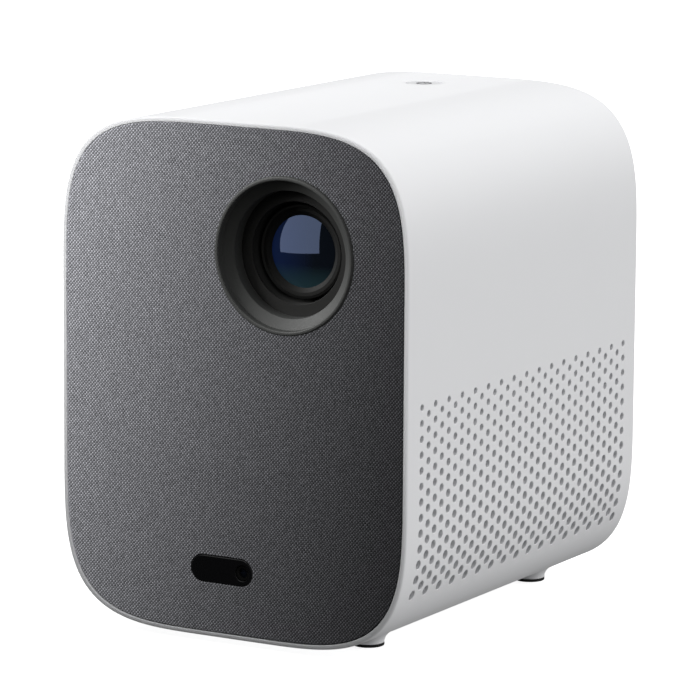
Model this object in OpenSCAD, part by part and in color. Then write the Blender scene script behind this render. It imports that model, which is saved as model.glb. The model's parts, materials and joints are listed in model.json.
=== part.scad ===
// Home projector: an upright squircle sleeve with a woven front, a stepped lens bezel high in the
// front, staggered holes low in both sides and four flared feet. Millimetres, +Z up, front at -Y,
// origin in the middle of the footprint, level with the undersides of the foot pads.

/* [Case] */
// Width of the case
body_w = 115; // [112:1:118]
// Height of the case without its feet
body_h = 149.5; // [148:0.5:152]
// Depth of the case from front rim to rear rim
body_d = 141.6; // [140:0.2:144]
// Corner radius of the case section
corner_r = 50; // [46:1:54]
// Squareness of the corners, where 2 is a circle
corner_power = 3.7; // [3:0.1:4]
// Thickness of the case wall
wall = 2.2; // [1.8:0.1:2.4]
// Width of the rim that shows around the front and rear panels
rim = 1.3; // [1.1:0.1:1.5]
// Gap between the table and the lowest line of the case
ground_gap = 1.8; // [1.5:0.1:3]

/* [Side holes] */
// Height between two holes of one column
hole_pitch = 4.5; // [4.2:0.1:4.5]
// Diameter of the holes in the top row
hole_d_top = 1.95; // [1.6:0.05:2.2]
// Diameter of the holes in the bottom row
hole_d_low = 2.8; // [2.2:0.05:3]
// Height of the top row below the middle of the case
hole_drop = 2.7; // [2.6:0.1:3]

/* [Lens] */
// Sideways position of the lens axis
lens_x = 17.2; // [15:0.1:18]
// Height of the lens axis above the middle of the case
lens_rise = 37.85; // [37:0.05:38.5]
// Outer diameter of the bezel
bezel_d = 45.3; // [44.6:0.1:46]
// Diameter of the dark well in the bezel
well_d = 29.3; // [29:0.1:29.6]
// Diameter of the front lens that shows in its retaining ring
lens_d = 20.7; // [20:0.1:21.4]
// Radius of the front lens's outer surface
lens_curve_r = 38; // [32:1:50]

/* [Front details] */
// Sideways position of the sensor window
window_x = -3.3; // [-6:0.1:0]
// Height of the sensor window's middle
window_z = 21.6; // [20:0.1:24]
// Length of the sensor window
window_w = 20.5; // [19:0.1:22]
// Height of the sensor window
window_h = 8; // [7:0.1:8.5]
// Sideways position of the camera behind the window
camera_x = 3.6; // [3:0.1:4]

/* [Controls and feet] */
// Sideways position of the power button
button_x = -2.7; // [-4:0.1:0]
// Front-to-back position of the power button
button_y = 45; // [40:0.5:50]
// Diameter of the power button
button_d = 10.6; // [10:0.1:11]
// Travel of the power button
button_travel = 0.6; // [0.4:0.1:0.8]
// Sideways distance of each foot from the middle
foot_x = 32.7; // [31:0.1:34]
// Distance of the front feet from the front rim
foot_inset_front = 22.3; // [20:0.1:24]
// Distance of the rear feet from the rear rim
foot_inset_rear = 20.4; // [18:0.1:22]
// Diameter of a foot at its pad
foot_d = 9.4; // [9:0.1:10]

/* [Hidden] */
$fn = 64;
eps = 0.01;
fit_gap = 0.05;       // radial gap of parts that are fastened or turn in one another
clear = 0.1;          // gap around plates set in a rebate

// Planes of the case
bezel_proud = 0.6;
front_y = -(body_d + bezel_proud) / 2 + bezel_proud;
rear_y = front_y + body_d;
mid_z = ground_gap + body_h / 2;
top_z = ground_gap + body_h;
inner_floor_z = ground_gap + wall;

// Front layers, from the rim backwards
fabric_t = 0.7;
panel_t = 2.5;
fabric_y = front_y + 0.4;
panel_y = fabric_y + fabric_t;
panel_back_y = panel_y + panel_t;
bulkhead_y = panel_back_y + 4.5;
bulkhead_t = 2.4;

// Brass nut in the floor
nut_z0 = inner_floor_z - 1.2;
nut_z1 = nut_z0 + 8;

// Bosses that hold the button board under the top
button_boss_z = top_z - 8.1;
button_screw_x = 10.5;

// Rear layers
cover_t = 2.5;
cover_out_y = rear_y - 0.6;
cover_in_y = cover_out_y - cover_t;
cover_screw_x = 42;
cover_screw_z = 60;
screw_r = 1.25;       // shank radius of the self-tapping screws
screw_head_r = 2.4;
screw_head_t = 1.6;

// Side holes: a staggered grid that is as wide as it is seen from the side
hole_columns = 33;
hole_rows = 25;
column_step = hole_pitch * sqrt(3) / 2;
row_step = hole_pitch / 2;
hole_top_z = mid_z - hole_drop;
hole_front_y = (front_y + rear_y - column_step * (hole_columns - 1)) / 2;

// Deck of the chassis and what stands on it
deck_z = 80;
deck_t = 2.4;
deck_top_z = deck_z + deck_t;
board_z = deck_top_z + 3.6;
board_t = 1.6;
board_top_z = board_z + board_t;
board_front_y = 9;
board_back_y = 66.5;
board_w = 92;

// Lens stack, front to back
lens_z = mid_z + lens_rise;
bezel_r = bezel_d / 2;
lip_y = front_y + 1.33;
lip_r = bezel_r - 1.3;
cone_y = front_y + 3.34;
cone_r = 18.15;
step_y = front_y + 7.15;
well_r = well_d / 2;
spigot_r = lip_r + 0.75;
baffle_t = 1.5;
barrel_y0 = front_y + 10;
barrel_y1 = -34;
barrel_r = 13.5;
mount_bore_r = barrel_r + fit_gap;
mount_r = 15.5;
mount_y0 = -50;
mount_y1 = -22;
seat_r = 12.7;
retainer_y1 = barrel_y0 + 1.8;
lens_rim_t = 2.6;
ring_y0 = -32;
ring_y1 = -27.2;
shoulder_r = 17;

// Focus gears
gear_module = 0.7;
ring_teeth = 54;
pinion_teeth = 12;
pressure_angle = 25;
gear_backlash = 0.12;
ring_pitch_r = gear_module * ring_teeth / 2;
pinion_pitch_r = gear_module * pinion_teeth / 2;
motor_z = lens_z - ring_pitch_r - pinion_pitch_r;
motor_shaft_r = 0.75;
motor_bore_depth = 5;
motor_y1 = -8;

// Optical engine, with its light path at the height of the lens axis
engine_x0 = -46;
engine_x1 = 33;
engine_y0 = -22;
engine_y1 = 8;
engine_z0 = 98;
engine_top_z = 128;
engine_wall = 2;
ear_t = 2.4;          // fixing ears of the housing
path_y = -8;
green_x = -17;
blue_x = -33;
led_board_t = 1.6;

// Cooling
fan_size = 60;
fan_screw_pos = 25;    // sideways and upward distance of the fan screws from its axis
fan_z = 42;
fan_y0 = 48;
fan_y1 = 63;
fan_bore_r = 28.6;
fan_hub_r = 11.5;
fan_shaft_r = 1.5;
sink_y0 = 14;
sink_y1 = 44;
sink_w = 56;
sink_base_z = 72.5;
pipe_r = 3;
pipe_y = engine_y1 + led_board_t + 3 + pipe_r;
pipe_bend_r = 12;
pipe_z = sink_base_z + pipe_r + 0.6;

// Speakers
speaker_y = -28;
speaker_z = 44;
speaker_face_x = 48;
speaker_hole_r = 19;
cone_gap = 0.4;

// ---------------------------------------------------------------- helpers

// One corner of a squircle, from its side to its top
function corner(r) = [for (i = [0:20]) let (t = 4.5 * i)
  [r * pow(cos(t), 2 / corner_power), r * pow(sin(t), 2 / corner_power)]];

// Outline of the case section, set in from its outside by inset
function section(inset) = let (r = corner_r - inset, cx = body_w / 2 - corner_r,
    cz = body_h / 2 - corner_r, c = corner(r), last = len(c) - 1)
  concat([for (q = c) [cx + q[0], cz + q[1]]],
         [for (i = [last:-1:0]) [-cx - c[i][0], cz + c[i][1]]],
         [for (q = c) [-cx - q[0], -cz - q[1]]],
         [for (i = [last:-1:0]) [cx + c[i][0], -cz - c[i][1]]]);

// Extrudes a drawing of the X-Z plane from y0 to y1
module along_y(y0, y1) {
  translate([0, y1, 0]) rotate([90, 0, 0]) linear_extrude(y1 - y0) children();
}

// Case section between two planes
module slab(inset, y0, y1) {
  translate([0, 0, mid_z]) along_y(y0, y1) polygon(section(inset));
}

// Cylinders along each axis
module rod_x(x0, x1, y, z, r) {
  translate([x0, y, z]) rotate([0, 90, 0]) cylinder(r = r, h = x1 - x0);
}
module rod_y(x, y0, y1, z, r) {
  translate([x, y1, z]) rotate([90, 0, 0]) cylinder(r = r, h = y1 - y0);
}
module rod_z(x, y, z0, z1, r) {
  translate([x, y, z0]) cylinder(r = r, h = z1 - z0);
}

// Box between two corners
module block(low, high) {
  translate(low) cube(high - low);
}

// Turned part on an axis along +Y: profile points are [radius, y]
module turned(x, z, profile) {
  translate([x, 0, z]) rotate([-90, 0, 0]) rotate_extrude($fn = 96) polygon(profile);
}

// Flat pill and rounded rectangle
module pill(w, h) {
  square([w - h, h], center = true);
  for (s = [-1, 1]) translate([s * (w - h) / 2, 0]) circle(d = h);
}
module rounded(w, h, r) {
  square([w - 2 * r, h], center = true);
  square([w, h - 2 * r], center = true);
  for (i = [-1, 1], j = [-1, 1]) translate([i * (w / 2 - r), j * (h / 2 - r)]) circle(r = r);
}

// Cross-head screw along -Y, with its head's seat at y
module screw_y(x, y, z, length) {
  difference() {
    union() {
      rod_y(x, y, y + screw_head_t, z, screw_head_r);
      rod_y(x, y - length, y + eps, z, screw_r);
    }
    for (a = [0, 90]) translate([x, y + screw_head_t, z]) rotate([0, a, 0])
      cube([2.6, 1.6, 0.6], center = true);
  }
}

// Cross-head screw along -Z, with its head's seat at z
module screw_z(x, y, z, length) {
  difference() {
    union() {
      rod_z(x, y, z, z + screw_head_t, screw_head_r);
      rod_z(x, y, z - length, z + eps, screw_r);
    }
    for (a = [0, 90]) translate([x, y, z + screw_head_t]) rotate([0, 0, a])
      cube([2.6, 0.6, 1.6], center = true);
  }
}

// Involute gear in the X-Z plane
function involute(base_r, a) = base_r * [cos(a) + a * PI / 180 * sin(a), sin(a) - a * PI / 180 * cos(a)];
function turn2(p, a) = [p[0] * cos(a) - p[1] * sin(a), p[0] * sin(a) + p[1] * cos(a)];
function flank(teeth, half_angle) = let (
    pitch_r = gear_module * teeth / 2, base_r = pitch_r * cos(pressure_angle),
    tip_r = pitch_r + 0.95 * gear_module, root_r = pitch_r - 1.2 * gear_module,
    low_r = max(base_r, root_r), a0 = sqrt(pow(low_r / base_r, 2) - 1) * 180 / PI,
    a1 = sqrt(pow(tip_r / base_r, 2) - 1) * 180 / PI,
    lean = tan(pressure_angle) * 180 / PI - pressure_angle)
  concat([root_r * [cos(-half_angle - lean), sin(-half_angle - lean)]],
         [for (i = [0:4]) turn2(involute(base_r, a0 + (a1 - a0) * i / 4), -half_angle - lean)]);
module gear_outline(teeth, phase) {
  pitch_r = gear_module * teeth / 2;
  half_angle = 90 / teeth - gear_backlash / 2 / pitch_r * 180 / PI;
  low = flank(teeth, half_angle);
  high = [for (i = [len(low) - 1:-1:0]) [low[i][0], -low[i][1]]];
  rotate(phase)
    polygon([for (k = [0:teeth - 1]) each [for (p = concat(low, high)) turn2(p, k * 360 / teeth)]]);
}

// ---------------------------------------------------------------- case

// Where the four feet stand
function foot_places() = [for (s = [-1, 1], y = [front_y + foot_inset_front, rear_y - foot_inset_rear])
  [s * foot_x, y]];

module foot_pedestal(x, y) {
  fillet = 3;
  base_z = 0.9;
  arc = [for (i = [0:12]) let (a = 7.5 * i)
    [foot_d / 2 + fillet - fillet * cos(a), base_z + 0.5 + fillet * sin(a)]];
  top_z = base_z + 0.5 + fillet;
  translate([x, y, 0]) rotate_extrude() polygon(concat([[0, base_z], [foot_d / 2, base_z]], arc,
    [[foot_d / 2 + fillet, top_z + 2], [0, top_z + 2]]));
}

module side_holes() {
  for (i = [0:hole_columns - 1], j = [0:hole_rows - 1]) if ((i + j) % 2 == 0)
    translate([0, hole_front_y + i * column_step, hole_top_z - j * row_step]) rotate([0, 90, 0])
      cylinder(d = hole_d_top + (hole_d_low - hole_d_top) * j / (hole_rows - 1), h = body_w + 2,
        center = true, $fn = 24);
}

module outer_shell() color("white") {
  boss_r = 3.6;
  rail_t = 2.4;
  difference() {
    union() {
      slab(0, front_y, rear_y);
      for (p = foot_places()) foot_pedestal(p[0], p[1]);
    }
    difference() {
      slab(wall, front_y + 1, rear_y - 1);
      // rails that carry the chassis deck
      for (s = [-1, 1], z = [deck_z - rail_t - clear, deck_top_z + clear])
        translate([s * (body_w / 2 - wall), (front_y + cover_in_y) / 2, z + rail_t / 2])
          cube([6, cover_in_y - front_y - 24, rail_t], center = true);
      // bosses for the rear cover's screws
      for (s = [-1, 1], t = [-1, 1]) difference() {
        union() {
          rod_y(s * cover_screw_x, cover_in_y - 12, cover_in_y, mid_z + t * cover_screw_z, boss_r);
          translate([s * (cover_screw_x + 6), cover_in_y - 6, mid_z + t * cover_screw_z])
            cube([12, 12, 2], center = true);
        }
        rod_y(s * cover_screw_x, cover_in_y - 11, cover_in_y + 1, mid_z + t * cover_screw_z,
          screw_r + fit_gap);
      }
      // boss for the tripod nut
      rod_z(0, 0, 0, nut_z1, 8.5);
      // bosses for the button board
      for (s = [-1, 1]) difference() {
        rod_z(button_x + s * button_screw_x, button_y, button_boss_z, top_z, 2.4);
        rod_z(button_x + s * button_screw_x, button_y, button_boss_z - 1, top_z - wall - 0.5,
          screw_r + fit_gap);
      }
    }
    // rebates for the front and rear panels
    slab(rim, front_y - 1, panel_back_y);
    slab(rim, cover_in_y, rear_y + 1);
    side_holes();
    rod_z(button_x, button_y, top_z - wall - 1, top_z + 1, button_d / 2 + button_gap);
    rod_z(0, 0, -1, nut_z1 + 1, 5 + fit_gap);
    for (p = foot_places()) rod_z(p[0], p[1], 0, 1.3, foot_d / 2 - 0.6);
  }
}

module foot_pads() color([0.06, 0.06, 0.06]) {
  for (p = foot_places()) translate([p[0], p[1], 0]) {
    rotate_extrude() polygon([[0, 0], [foot_d / 2 - 0.25, 0], [foot_d / 2, 0.25], [foot_d / 2, 0.9],
      [foot_d / 2 - 0.6 - fit_gap, 0.9], [foot_d / 2 - 0.6 - fit_gap, 1.25], [0, 1.25]]);
  }
}

module tripod_nut() color("goldenrod") {
  difference() {
    union() {
      rod_z(0, 0, nut_z0, nut_z1, 5);
      rod_z(0, 0, nut_z1, nut_z1 + 1, 7);
    }
    rod_z(0, 0, nut_z0 - 1, nut_z1 + 2, 2.6);
  }
}

// ---------------------------------------------------------------- front

front_posts = [[-42, 66], [42, 66], [-42, 128], [45, 126]];
sensor_posts = [window_x - 15, window_x + 15];
sensor_board_y = panel_back_y + 8.9;

module front_panel() color([0.1, 0.1, 0.11]) {
  difference() {
    union() {
      slab(rim + clear, panel_y, panel_back_y);
      for (p = front_posts) rod_y(p[0], panel_back_y - eps, bulkhead_y, p[1], 3);
      for (x = sensor_posts) rod_y(x, panel_back_y - eps, sensor_board_y, window_z, 2.4);
    }
    rod_y(lens_x, panel_y - 1, panel_back_y + 1, lens_z, spigot_r + 0.2);
    translate([window_x, 0, window_z]) along_y(panel_y - 1, panel_back_y + 1)
      pill(window_w + 0.2, window_h + 0.2);
    for (p = front_posts) rod_y(p[0], panel_y + 1.5, bulkhead_y + 1, p[1], screw_r + fit_gap);
    for (x = sensor_posts) rod_y(x, panel_y + 1.5, sensor_board_y + 1, window_z, screw_r + fit_gap);
  }
}

module front_fabric() color([0.33, 0.33, 0.35]) {
  difference() {
    slab(rim + clear, fabric_y, panel_y);
    rod_y(lens_x, fabric_y - 1, panel_y + 1, lens_z, spigot_r + 0.2);
    translate([window_x, 0, window_z]) along_y(fabric_y - 1, panel_y + 1)
      pill(window_w + 0.2, window_h + 0.2);
  }
}

module lens_bezel() color([0.17, 0.17, 0.16]) {
  rim_y = front_y - bezel_proud;
  round_r = 0.55;
  lip = [for (i = [0:6]) let (a = 15 * i)
    [bezel_r - round_r + round_r * cos(a), rim_y + round_r - round_r * sin(a)]];
  turned(lens_x, lens_z, concat([[spigot_r, fabric_y], [bezel_r, fabric_y]], lip,
    [[lip_r + 0.45, rim_y + 0.25], [lip_r, lip_y], [cone_r, cone_y], [cone_r, step_y], [spigot_r, step_y]]));
}

module lens_baffle() color([0.07, 0.07, 0.07]) {
  tube_r = well_r + 1;
  turned(lens_x, lens_z, [[well_r, step_y], [spigot_r, step_y], [spigot_r, step_y + baffle_t],
    [tube_r, step_y + baffle_t], [tube_r, -53], [well_r, -53]]);
}

module sensor_window() color([0.02, 0.02, 0.03]) {
  difference() {
    translate([window_x, 0, window_z]) {
      along_y(fabric_y - 0.2, panel_back_y) pill(window_w, window_h);
      along_y(panel_back_y, panel_back_y + 0.8) pill(window_w + 3, window_h + 3);
    }
    rod_y(camera_x, front_y - 1, panel_back_y + 2, window_z, 2.3);
  }
}

module sensor_board() color("darkgreen") {
  difference() {
    translate([window_x, 0, window_z]) along_y(sensor_board_y, sensor_board_y + 1) rounded(36, 13, 1);
    for (x = sensor_posts) rod_y(x, sensor_board_y - 1, sensor_board_y + 2, window_z, screw_r + 0.15);
  }
}

module camera_module() color([0.08, 0.08, 0.08]) {
  difference() {
    union() {
      translate([camera_x, 0, window_z]) along_y(panel_back_y + 1, sensor_board_y) rounded(8.5, 8.5, 0.6);
      rod_y(camera_x, fabric_y + 0.3, panel_back_y + 1 + eps, window_z, 2.1);
    }
    rod_y(camera_x, fabric_y - 1, fabric_y + 2.5, window_z, 1.45);
  }
}

module camera_lens() color([0.1, 0.12, 0.2]) {
  intersection() {
    rod_y(camera_x, fabric_y + 0.6, fabric_y + 2.5, window_z, 1.45 - 0.03);
    translate([camera_x, fabric_y + 3.9, window_z]) sphere(r = 3.1);
  }
}

module infrared_receiver() color([0.05, 0.03, 0.05]) {
  translate([window_x - 6, 0, window_z]) {
    along_y(sensor_board_y - 3.5, sensor_board_y) rounded(6, 6.6, 0.4);
    intersection() {
      translate([0, sensor_board_y - 3.5, 0]) sphere(r = 2.4);
      along_y(sensor_board_y - 6, sensor_board_y - 3.5) square([6, 6], center = true);
    }
  }
}

module front_screws() color("silver") {
  for (p = front_posts) screw_y(p[0], bulkhead_y + bulkhead_t, p[1], 6);
  for (x = sensor_posts) screw_y(x, sensor_board_y + 1, window_z, 7);
}

// ---------------------------------------------------------------- rear

hdmi_x = -30;
usb_x = -8;
audio_x = 12;
dc_x = 31;
socket_y1 = cover_out_y - 0.3;

module rear_cover() color([0.93, 0.93, 0.93]) {
  slots = 13;
  slot_step = 4.4;
  slot_h = 2.4;
  difference() {
    union() {
      slab(rim + clear, cover_in_y, cover_out_y);
      for (s = [-1, 1], t = [-1, 1]) rod_y(s * fan_screw_pos, fan_y1, cover_in_y + eps,
        fan_z + t * fan_screw_pos, 3.4);
    }
    // exhaust slots, longer in the middle so that they fill a circle
    for (k = [0:slots - 1]) let (dz = (k - (slots - 1) / 2) * slot_step, half = sqrt(30 * 30 - dz * dz))
      translate([0, 0, fan_z + dz]) along_y(cover_in_y - 1, cover_out_y + 1) pill(2 * half, slot_h);
    // short upper slots over the board
    for (k = [0:4]) translate([0, 0, 112 + k * slot_step]) along_y(cover_in_y - 1, cover_out_y + 1)
      pill(44, slot_h);
    for (s = [-1, 1], t = [-1, 1]) {
      rod_y(s * cover_screw_x, cover_in_y - 1, cover_out_y + 1, mid_z + t * cover_screw_z, screw_r + 0.15);
      rod_y(s * cover_screw_x, cover_out_y - 1.4, cover_out_y + 1, mid_z + t * cover_screw_z,
        screw_head_r + 0.3);
      rod_y(s * fan_screw_pos, fan_y1 - 1, cover_in_y + 1, fan_z + t * fan_screw_pos, screw_r + fit_gap);
    }
    translate([hdmi_x, 0, board_top_z + 3]) along_y(cover_in_y - 1, cover_out_y + 1) rounded(16.2, 6.8, 1);
    translate([usb_x, 0, board_top_z + 3.4]) along_y(cover_in_y - 1, cover_out_y + 1) rounded(14.4, 7.6, 0.6);
    rod_y(audio_x, cover_in_y - 1, cover_out_y + 1, board_top_z + 3.5, 3.4);
    translate([dc_x, 0, board_top_z + 5.5]) along_y(cover_in_y - 1, cover_out_y + 1) rounded(10, 11.8, 1);
  }
}

module rear_screws() color("silver") {
  for (s = [-1, 1], t = [-1, 1])
    screw_y(s * cover_screw_x, cover_out_y - 1.4, mid_z + t * cover_screw_z, 9);
}

// ---------------------------------------------------------------- top control

icon_r = 2.4;
icon_depth = 0.5;
button_top_z = top_z - 0.15;
button_flange_z = top_z - wall - fit_gap;
button_gap = 0.3;
button_board_t = 1.2;
button_board_z = button_boss_z - button_board_t;
switch_body_t = 1.6;
switch_top_z = button_boss_z + switch_body_t + 0.15;

module power_button() color([0.96, 0.96, 0.96]) {
  difference() {
    union() {
      rod_z(button_x, button_y, button_flange_z - eps, button_top_z, button_d / 2);
      rod_z(button_x, button_y, button_flange_z - 1.2, button_flange_z, button_d / 2 + 1);
      rod_z(button_x, button_y, switch_top_z + button_travel + fit_gap, button_flange_z - 1, 1.5);
    }
    translate([0, 0, button_top_z - icon_depth]) linear_extrude(1) icon_outline(0.03);
  }
}

// Broken ring with a bar in its gap
module icon_outline(gap) {
  translate([button_x, button_y]) {
    difference() {
      circle(r = icon_r + gap);
      circle(r = icon_r - 0.55 - gap);
      translate([-0.75 + gap, 0]) square([1.5 - 2 * gap, icon_r + 1]);
    }
    translate([-0.28 - gap, 0.5 - gap]) square([0.56 + 2 * gap, icon_r - 0.3 + 2 * gap]);
  }
}

module power_icon() color([0.35, 0.35, 0.37]) {
  translate([0, 0, button_top_z - icon_depth]) linear_extrude(icon_depth) icon_outline(0);
}

module button_board() color("darkgreen") {
  difference() {
    translate([button_x, button_y, button_board_z]) linear_extrude(button_board_t) rounded(27, 13, 1.5);
    for (s = [-1, 1]) rod_z(button_x + s * button_screw_x, button_y, button_board_z - 1,
      button_boss_z + 1, screw_r + 0.15);
  }
}

module power_switch() color([0.15, 0.15, 0.15]) {
  translate([button_x, button_y, button_boss_z]) linear_extrude(switch_body_t) rounded(6, 6, 0.4);
  rod_z(button_x, button_y, button_boss_z, switch_top_z, 1.7);
}

module button_board_screws() color("silver") {
  for (s = [-1, 1]) translate([button_x + s * button_screw_x, button_y, button_board_z]) mirror([0, 0, 1])
    screw_z(0, 0, 0, 6);
}

// ---------------------------------------------------------------- side mesh

module dust_mesh(side) color([0.25, 0.25, 0.26]) {
  mesh_t = 0.5;
  intersection() {
    difference() {
      slab(wall + fit_gap, hole_front_y - 3, -hole_front_y + 3);
      slab(wall + fit_gap + mesh_t, front_y, rear_y);
    }
    block([side > 0 ? 20 : -60, front_y, hole_top_z - (hole_rows - 1) * row_step - 2],
      [side > 0 ? 60 : -20, rear_y, hole_top_z + 2.5]);
  }
}
module dust_mesh_left() dust_mesh(-1);
module dust_mesh_right() dust_mesh(1);

// ---------------------------------------------------------------- chassis and boards

engine_posts = [[-49, -18], [-49, 4], [37.5, -18], [37.5, 4]];
board_posts = [[-42, 26], [42, 12], [-42, 60], [42, 54]];

module chassis() color([0.16, 0.16, 0.17]) {
  deck_y0 = bulkhead_y;
  deck_y1 = cover_in_y - 0.5;
  difference() {
    union() {
      intersection() {
        slab(wall + 0.3, deck_y0, deck_y1);
        block([-60, -80, deck_z], [60, 80, deck_top_z]);
      }
      intersection() {
        slab(wall + 3, bulkhead_y, bulkhead_y + bulkhead_t);
        block([-60, -80, 61], [60, 80, 134]);
      }
      for (p = engine_posts) rod_z(p[0], p[1], deck_top_z - eps, engine_z0, 3);
      for (p = board_posts) rod_z(p[0], p[1], deck_top_z - eps, board_z, 3);
    }
    rod_y(lens_x, bulkhead_y - 1, bulkhead_y + bulkhead_t + 1, lens_z, spigot_r + 0.6);
    for (p = front_posts) rod_y(p[0], bulkhead_y - 1, bulkhead_y + bulkhead_t + 1, p[1], screw_r + 0.15);
    for (p = engine_posts) rod_z(p[0], p[1], deck_top_z, engine_z0 + 1, screw_r + fit_gap);
    for (p = board_posts) rod_z(p[0], p[1], deck_z - 1, board_z + 1, screw_r + fit_gap);
    // passage for the heat pipes
    block([blue_x - pipe_r - 2, pipe_y - pipe_r - 2, deck_z - 1], [green_x + pipe_r + 2, 30, deck_top_z + 1]);
    // cable openings
    block([12, -50, deck_z - 1], [32, -40, deck_top_z + 1]);
    block([-6, 10, deck_z - 1], [6, 16, deck_top_z + 1]);
  }
}

module main_board() color("darkgreen") {
  difference() {
    union() {
      block([-board_w / 2, board_front_y, board_z], [board_w / 2, board_back_y, board_top_z]);
      // processor, memory and capacitors
      translate([14, 34, board_top_z - eps]) linear_extrude(1.8) rounded(18, 18, 0.5);
      for (k = [0:3]) translate([-14 + 7 * k, 46, board_top_z - eps]) linear_extrude(1.2)
        rounded(5, 8, 0.3);
      for (k = [0:2]) rod_z(34, 24 + 9 * k, board_top_z - eps, board_top_z + 7, 3);
    }
    block([blue_x - 7, board_front_y - 1, board_z - 1], [green_x + 7, 24, board_top_z + 1]);
    for (p = board_posts) rod_z(p[0], p[1], board_z - 1, board_top_z + 1, screw_r + 0.15);
  }
}

module chassis_screws() color("silver") {
  for (p = board_posts) screw_z(p[0], p[1], board_top_z, board_t + 3.4);
  for (p = engine_posts) screw_z(p[0], p[1], engine_z0 + ear_t, 8);
}

module hdmi_socket() color("silver") {
  z = board_top_z + 3;
  difference() {
    translate([hdmi_x, 0, z]) along_y(board_back_y - 9, socket_y1) rounded(15.2, 6, 0.8);
    translate([hdmi_x, 0, z]) along_y(board_back_y - 8, socket_y1 + 1) rounded(14, 4.6, 0.4);
  }
  translate([hdmi_x, 0, z + 0.2]) along_y(board_back_y - 8 - eps, socket_y1 - 1.5)
    square([12, 1.2], center = true);
}

module usb_socket() color("silver") {
  z = board_top_z + 3.4;
  difference() {
    translate([usb_x, 0, z]) along_y(board_back_y - 12, socket_y1) rounded(13.4, 6.8, 0.4);
    translate([usb_x, 0, z]) along_y(board_back_y - 11, socket_y1 + 1) square([12.4, 5.6], center = true);
  }
  translate([usb_x, 0, z + 1.5]) along_y(board_back_y - 11 - eps, socket_y1 - 1.5)
    square([11, 1.8], center = true);
}

module audio_socket() color([0.1, 0.1, 0.1]) {
  z = board_top_z + 3.5;
  difference() {
    union() {
      block([audio_x - 3.5, board_back_y - 12, board_top_z], [audio_x + 3.5, board_back_y, board_top_z + 7]);
      rod_y(audio_x, board_back_y - eps, socket_y1, z, 3);
    }
    rod_y(audio_x, board_back_y - 10, socket_y1 + 1, z, 1.8);
  }
}

module dc_socket() color([0.08, 0.08, 0.08]) {
  z = board_top_z + 5.5;
  difference() {
    translate([dc_x, 0, z]) along_y(board_back_y - 10, socket_y1) rounded(9, 11, 0.6);
    rod_y(dc_x, board_back_y - 8, socket_y1 + 1, z, 3);
  }
  rod_y(dc_x, board_back_y - 8 - eps, socket_y1 - 1, z, 1);
}

// ---------------------------------------------------------------- optical engine

module engine_housing() color([0.35, 0.35, 0.36]) {
  w = engine_wall;
  difference() {
    union() {
      block([engine_x0, engine_y0, engine_z0], [engine_x1, engine_y1, engine_top_z]);
      for (p = engine_posts) rod_z(p[0], p[1], engine_z0, engine_z0 + ear_t, 4);
      for (p = engine_posts) let (edge = p[0] < 0 ? engine_x0 : engine_x1)
        block([min(p[0], edge - 1), p[1] - 3, engine_z0], [max(p[0], edge + 1), p[1] + 3, engine_z0 + ear_t]);
    }
    block([engine_x0 + w, engine_y0 + w, engine_z0 + w], [engine_x1 - w, engine_y1 - w, engine_top_z + 1]);
    for (p = engine_posts) rod_z(p[0], p[1], engine_z0 - 1, engine_z0 + 4, screw_r + 0.15);
    // light ports: lens, three LEDs and the mirror chip
    rod_y(lens_x, engine_y0 - 1, engine_y0 + w + 1, lens_z, 9);
    for (x = [green_x, blue_x]) rod_y(x, engine_y1 - w - 1, engine_y1 + 1, lens_z, 5);
    rod_x(engine_x0 - 1, engine_x0 + w + 1, path_y, lens_z, 5);
    block([lens_x - 10.5, engine_y1 - w - 1, lens_z - 7], [lens_x + 10.5, engine_y1 + 1, lens_z + 7]);
  }
  // cradles of the lenses and mirrors
  for (x = [-6, 2]) block([x - 1, path_y - 7, engine_z0 + w - eps], [x + 1, path_y + 7, lens_z - 9.1]);
  block([lens_x - 10, path_y - 9, engine_z0 + w - eps], [lens_x + 10, path_y + 9, lens_z - 10]);
  for (x = [green_x, blue_x]) translate([x, path_y, 0]) rotate([0, 0, -45])
    block([-6, -0.8, engine_z0 + w - eps], [6, 0.8, lens_z - 8]);
}

module engine_cover() color([0.4, 0.4, 0.41]) {
  difference() {
    block([engine_x0, engine_y0, engine_top_z], [engine_x1, engine_y1, engine_top_z + 2]);
    for (k = [0:5]) block([-36 + 10 * k, -16, engine_top_z + 1.2], [-34 + 10 * k, 2, engine_top_z + 3]);
  }
}

// LED on its board, facing +Z, with the back of the board at z = 0
module led_module() {
  linear_extrude(led_board_t) rounded(15, 15, 1);
  translate([0, 0, led_board_t - eps]) linear_extrude(1) rounded(6, 6, 0.3);
  intersection() {
    translate([0, 0, led_board_t + 0.9]) sphere(r = 2.4);
    translate([0, 0, led_board_t + 3.9]) cube([6, 6, 6], center = true);
  }
}
module led_red() color("firebrick") {
  translate([engine_x0 - led_board_t, path_y, lens_z]) rotate([0, 90, 0]) led_module();
}
module led_on_rear(x) {
  translate([x, engine_y1 + led_board_t, lens_z]) rotate([90, 0, 0]) led_module();
}
module led_green() color("forestgreen") led_on_rear(green_x);
module led_blue() color("royalblue") led_on_rear(blue_x);

// Plano-convex lens along +Z with its flat side at z = 0
module convex_lens(r, thickness, sphere_r) {
  intersection() {
    cylinder(r = r, h = thickness);
    translate([0, 0, thickness - sphere_r]) sphere(r = sphere_r, $fn = 96);
  }
}

module collimator_lenses() color([0.8, 0.9, 0.95]) {
  translate([engine_x0 + 5.2, path_y, lens_z]) rotate([0, 90, 0]) convex_lens(6.5, 4, 9);
  for (x = [green_x, blue_x]) translate([x, engine_y1 - 5.2, lens_z]) rotate([90, 0, 0])
    convex_lens(6.5, 4, 9);
}

module dichroic_mirrors() color([0.6, 0.7, 0.9]) {
  for (x = [green_x, blue_x]) translate([x, path_y, 0]) rotate([0, 0, -45])
    block([-6, -0.5, lens_z - 8], [6, 0.5, lens_z + 7]);
}

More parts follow.
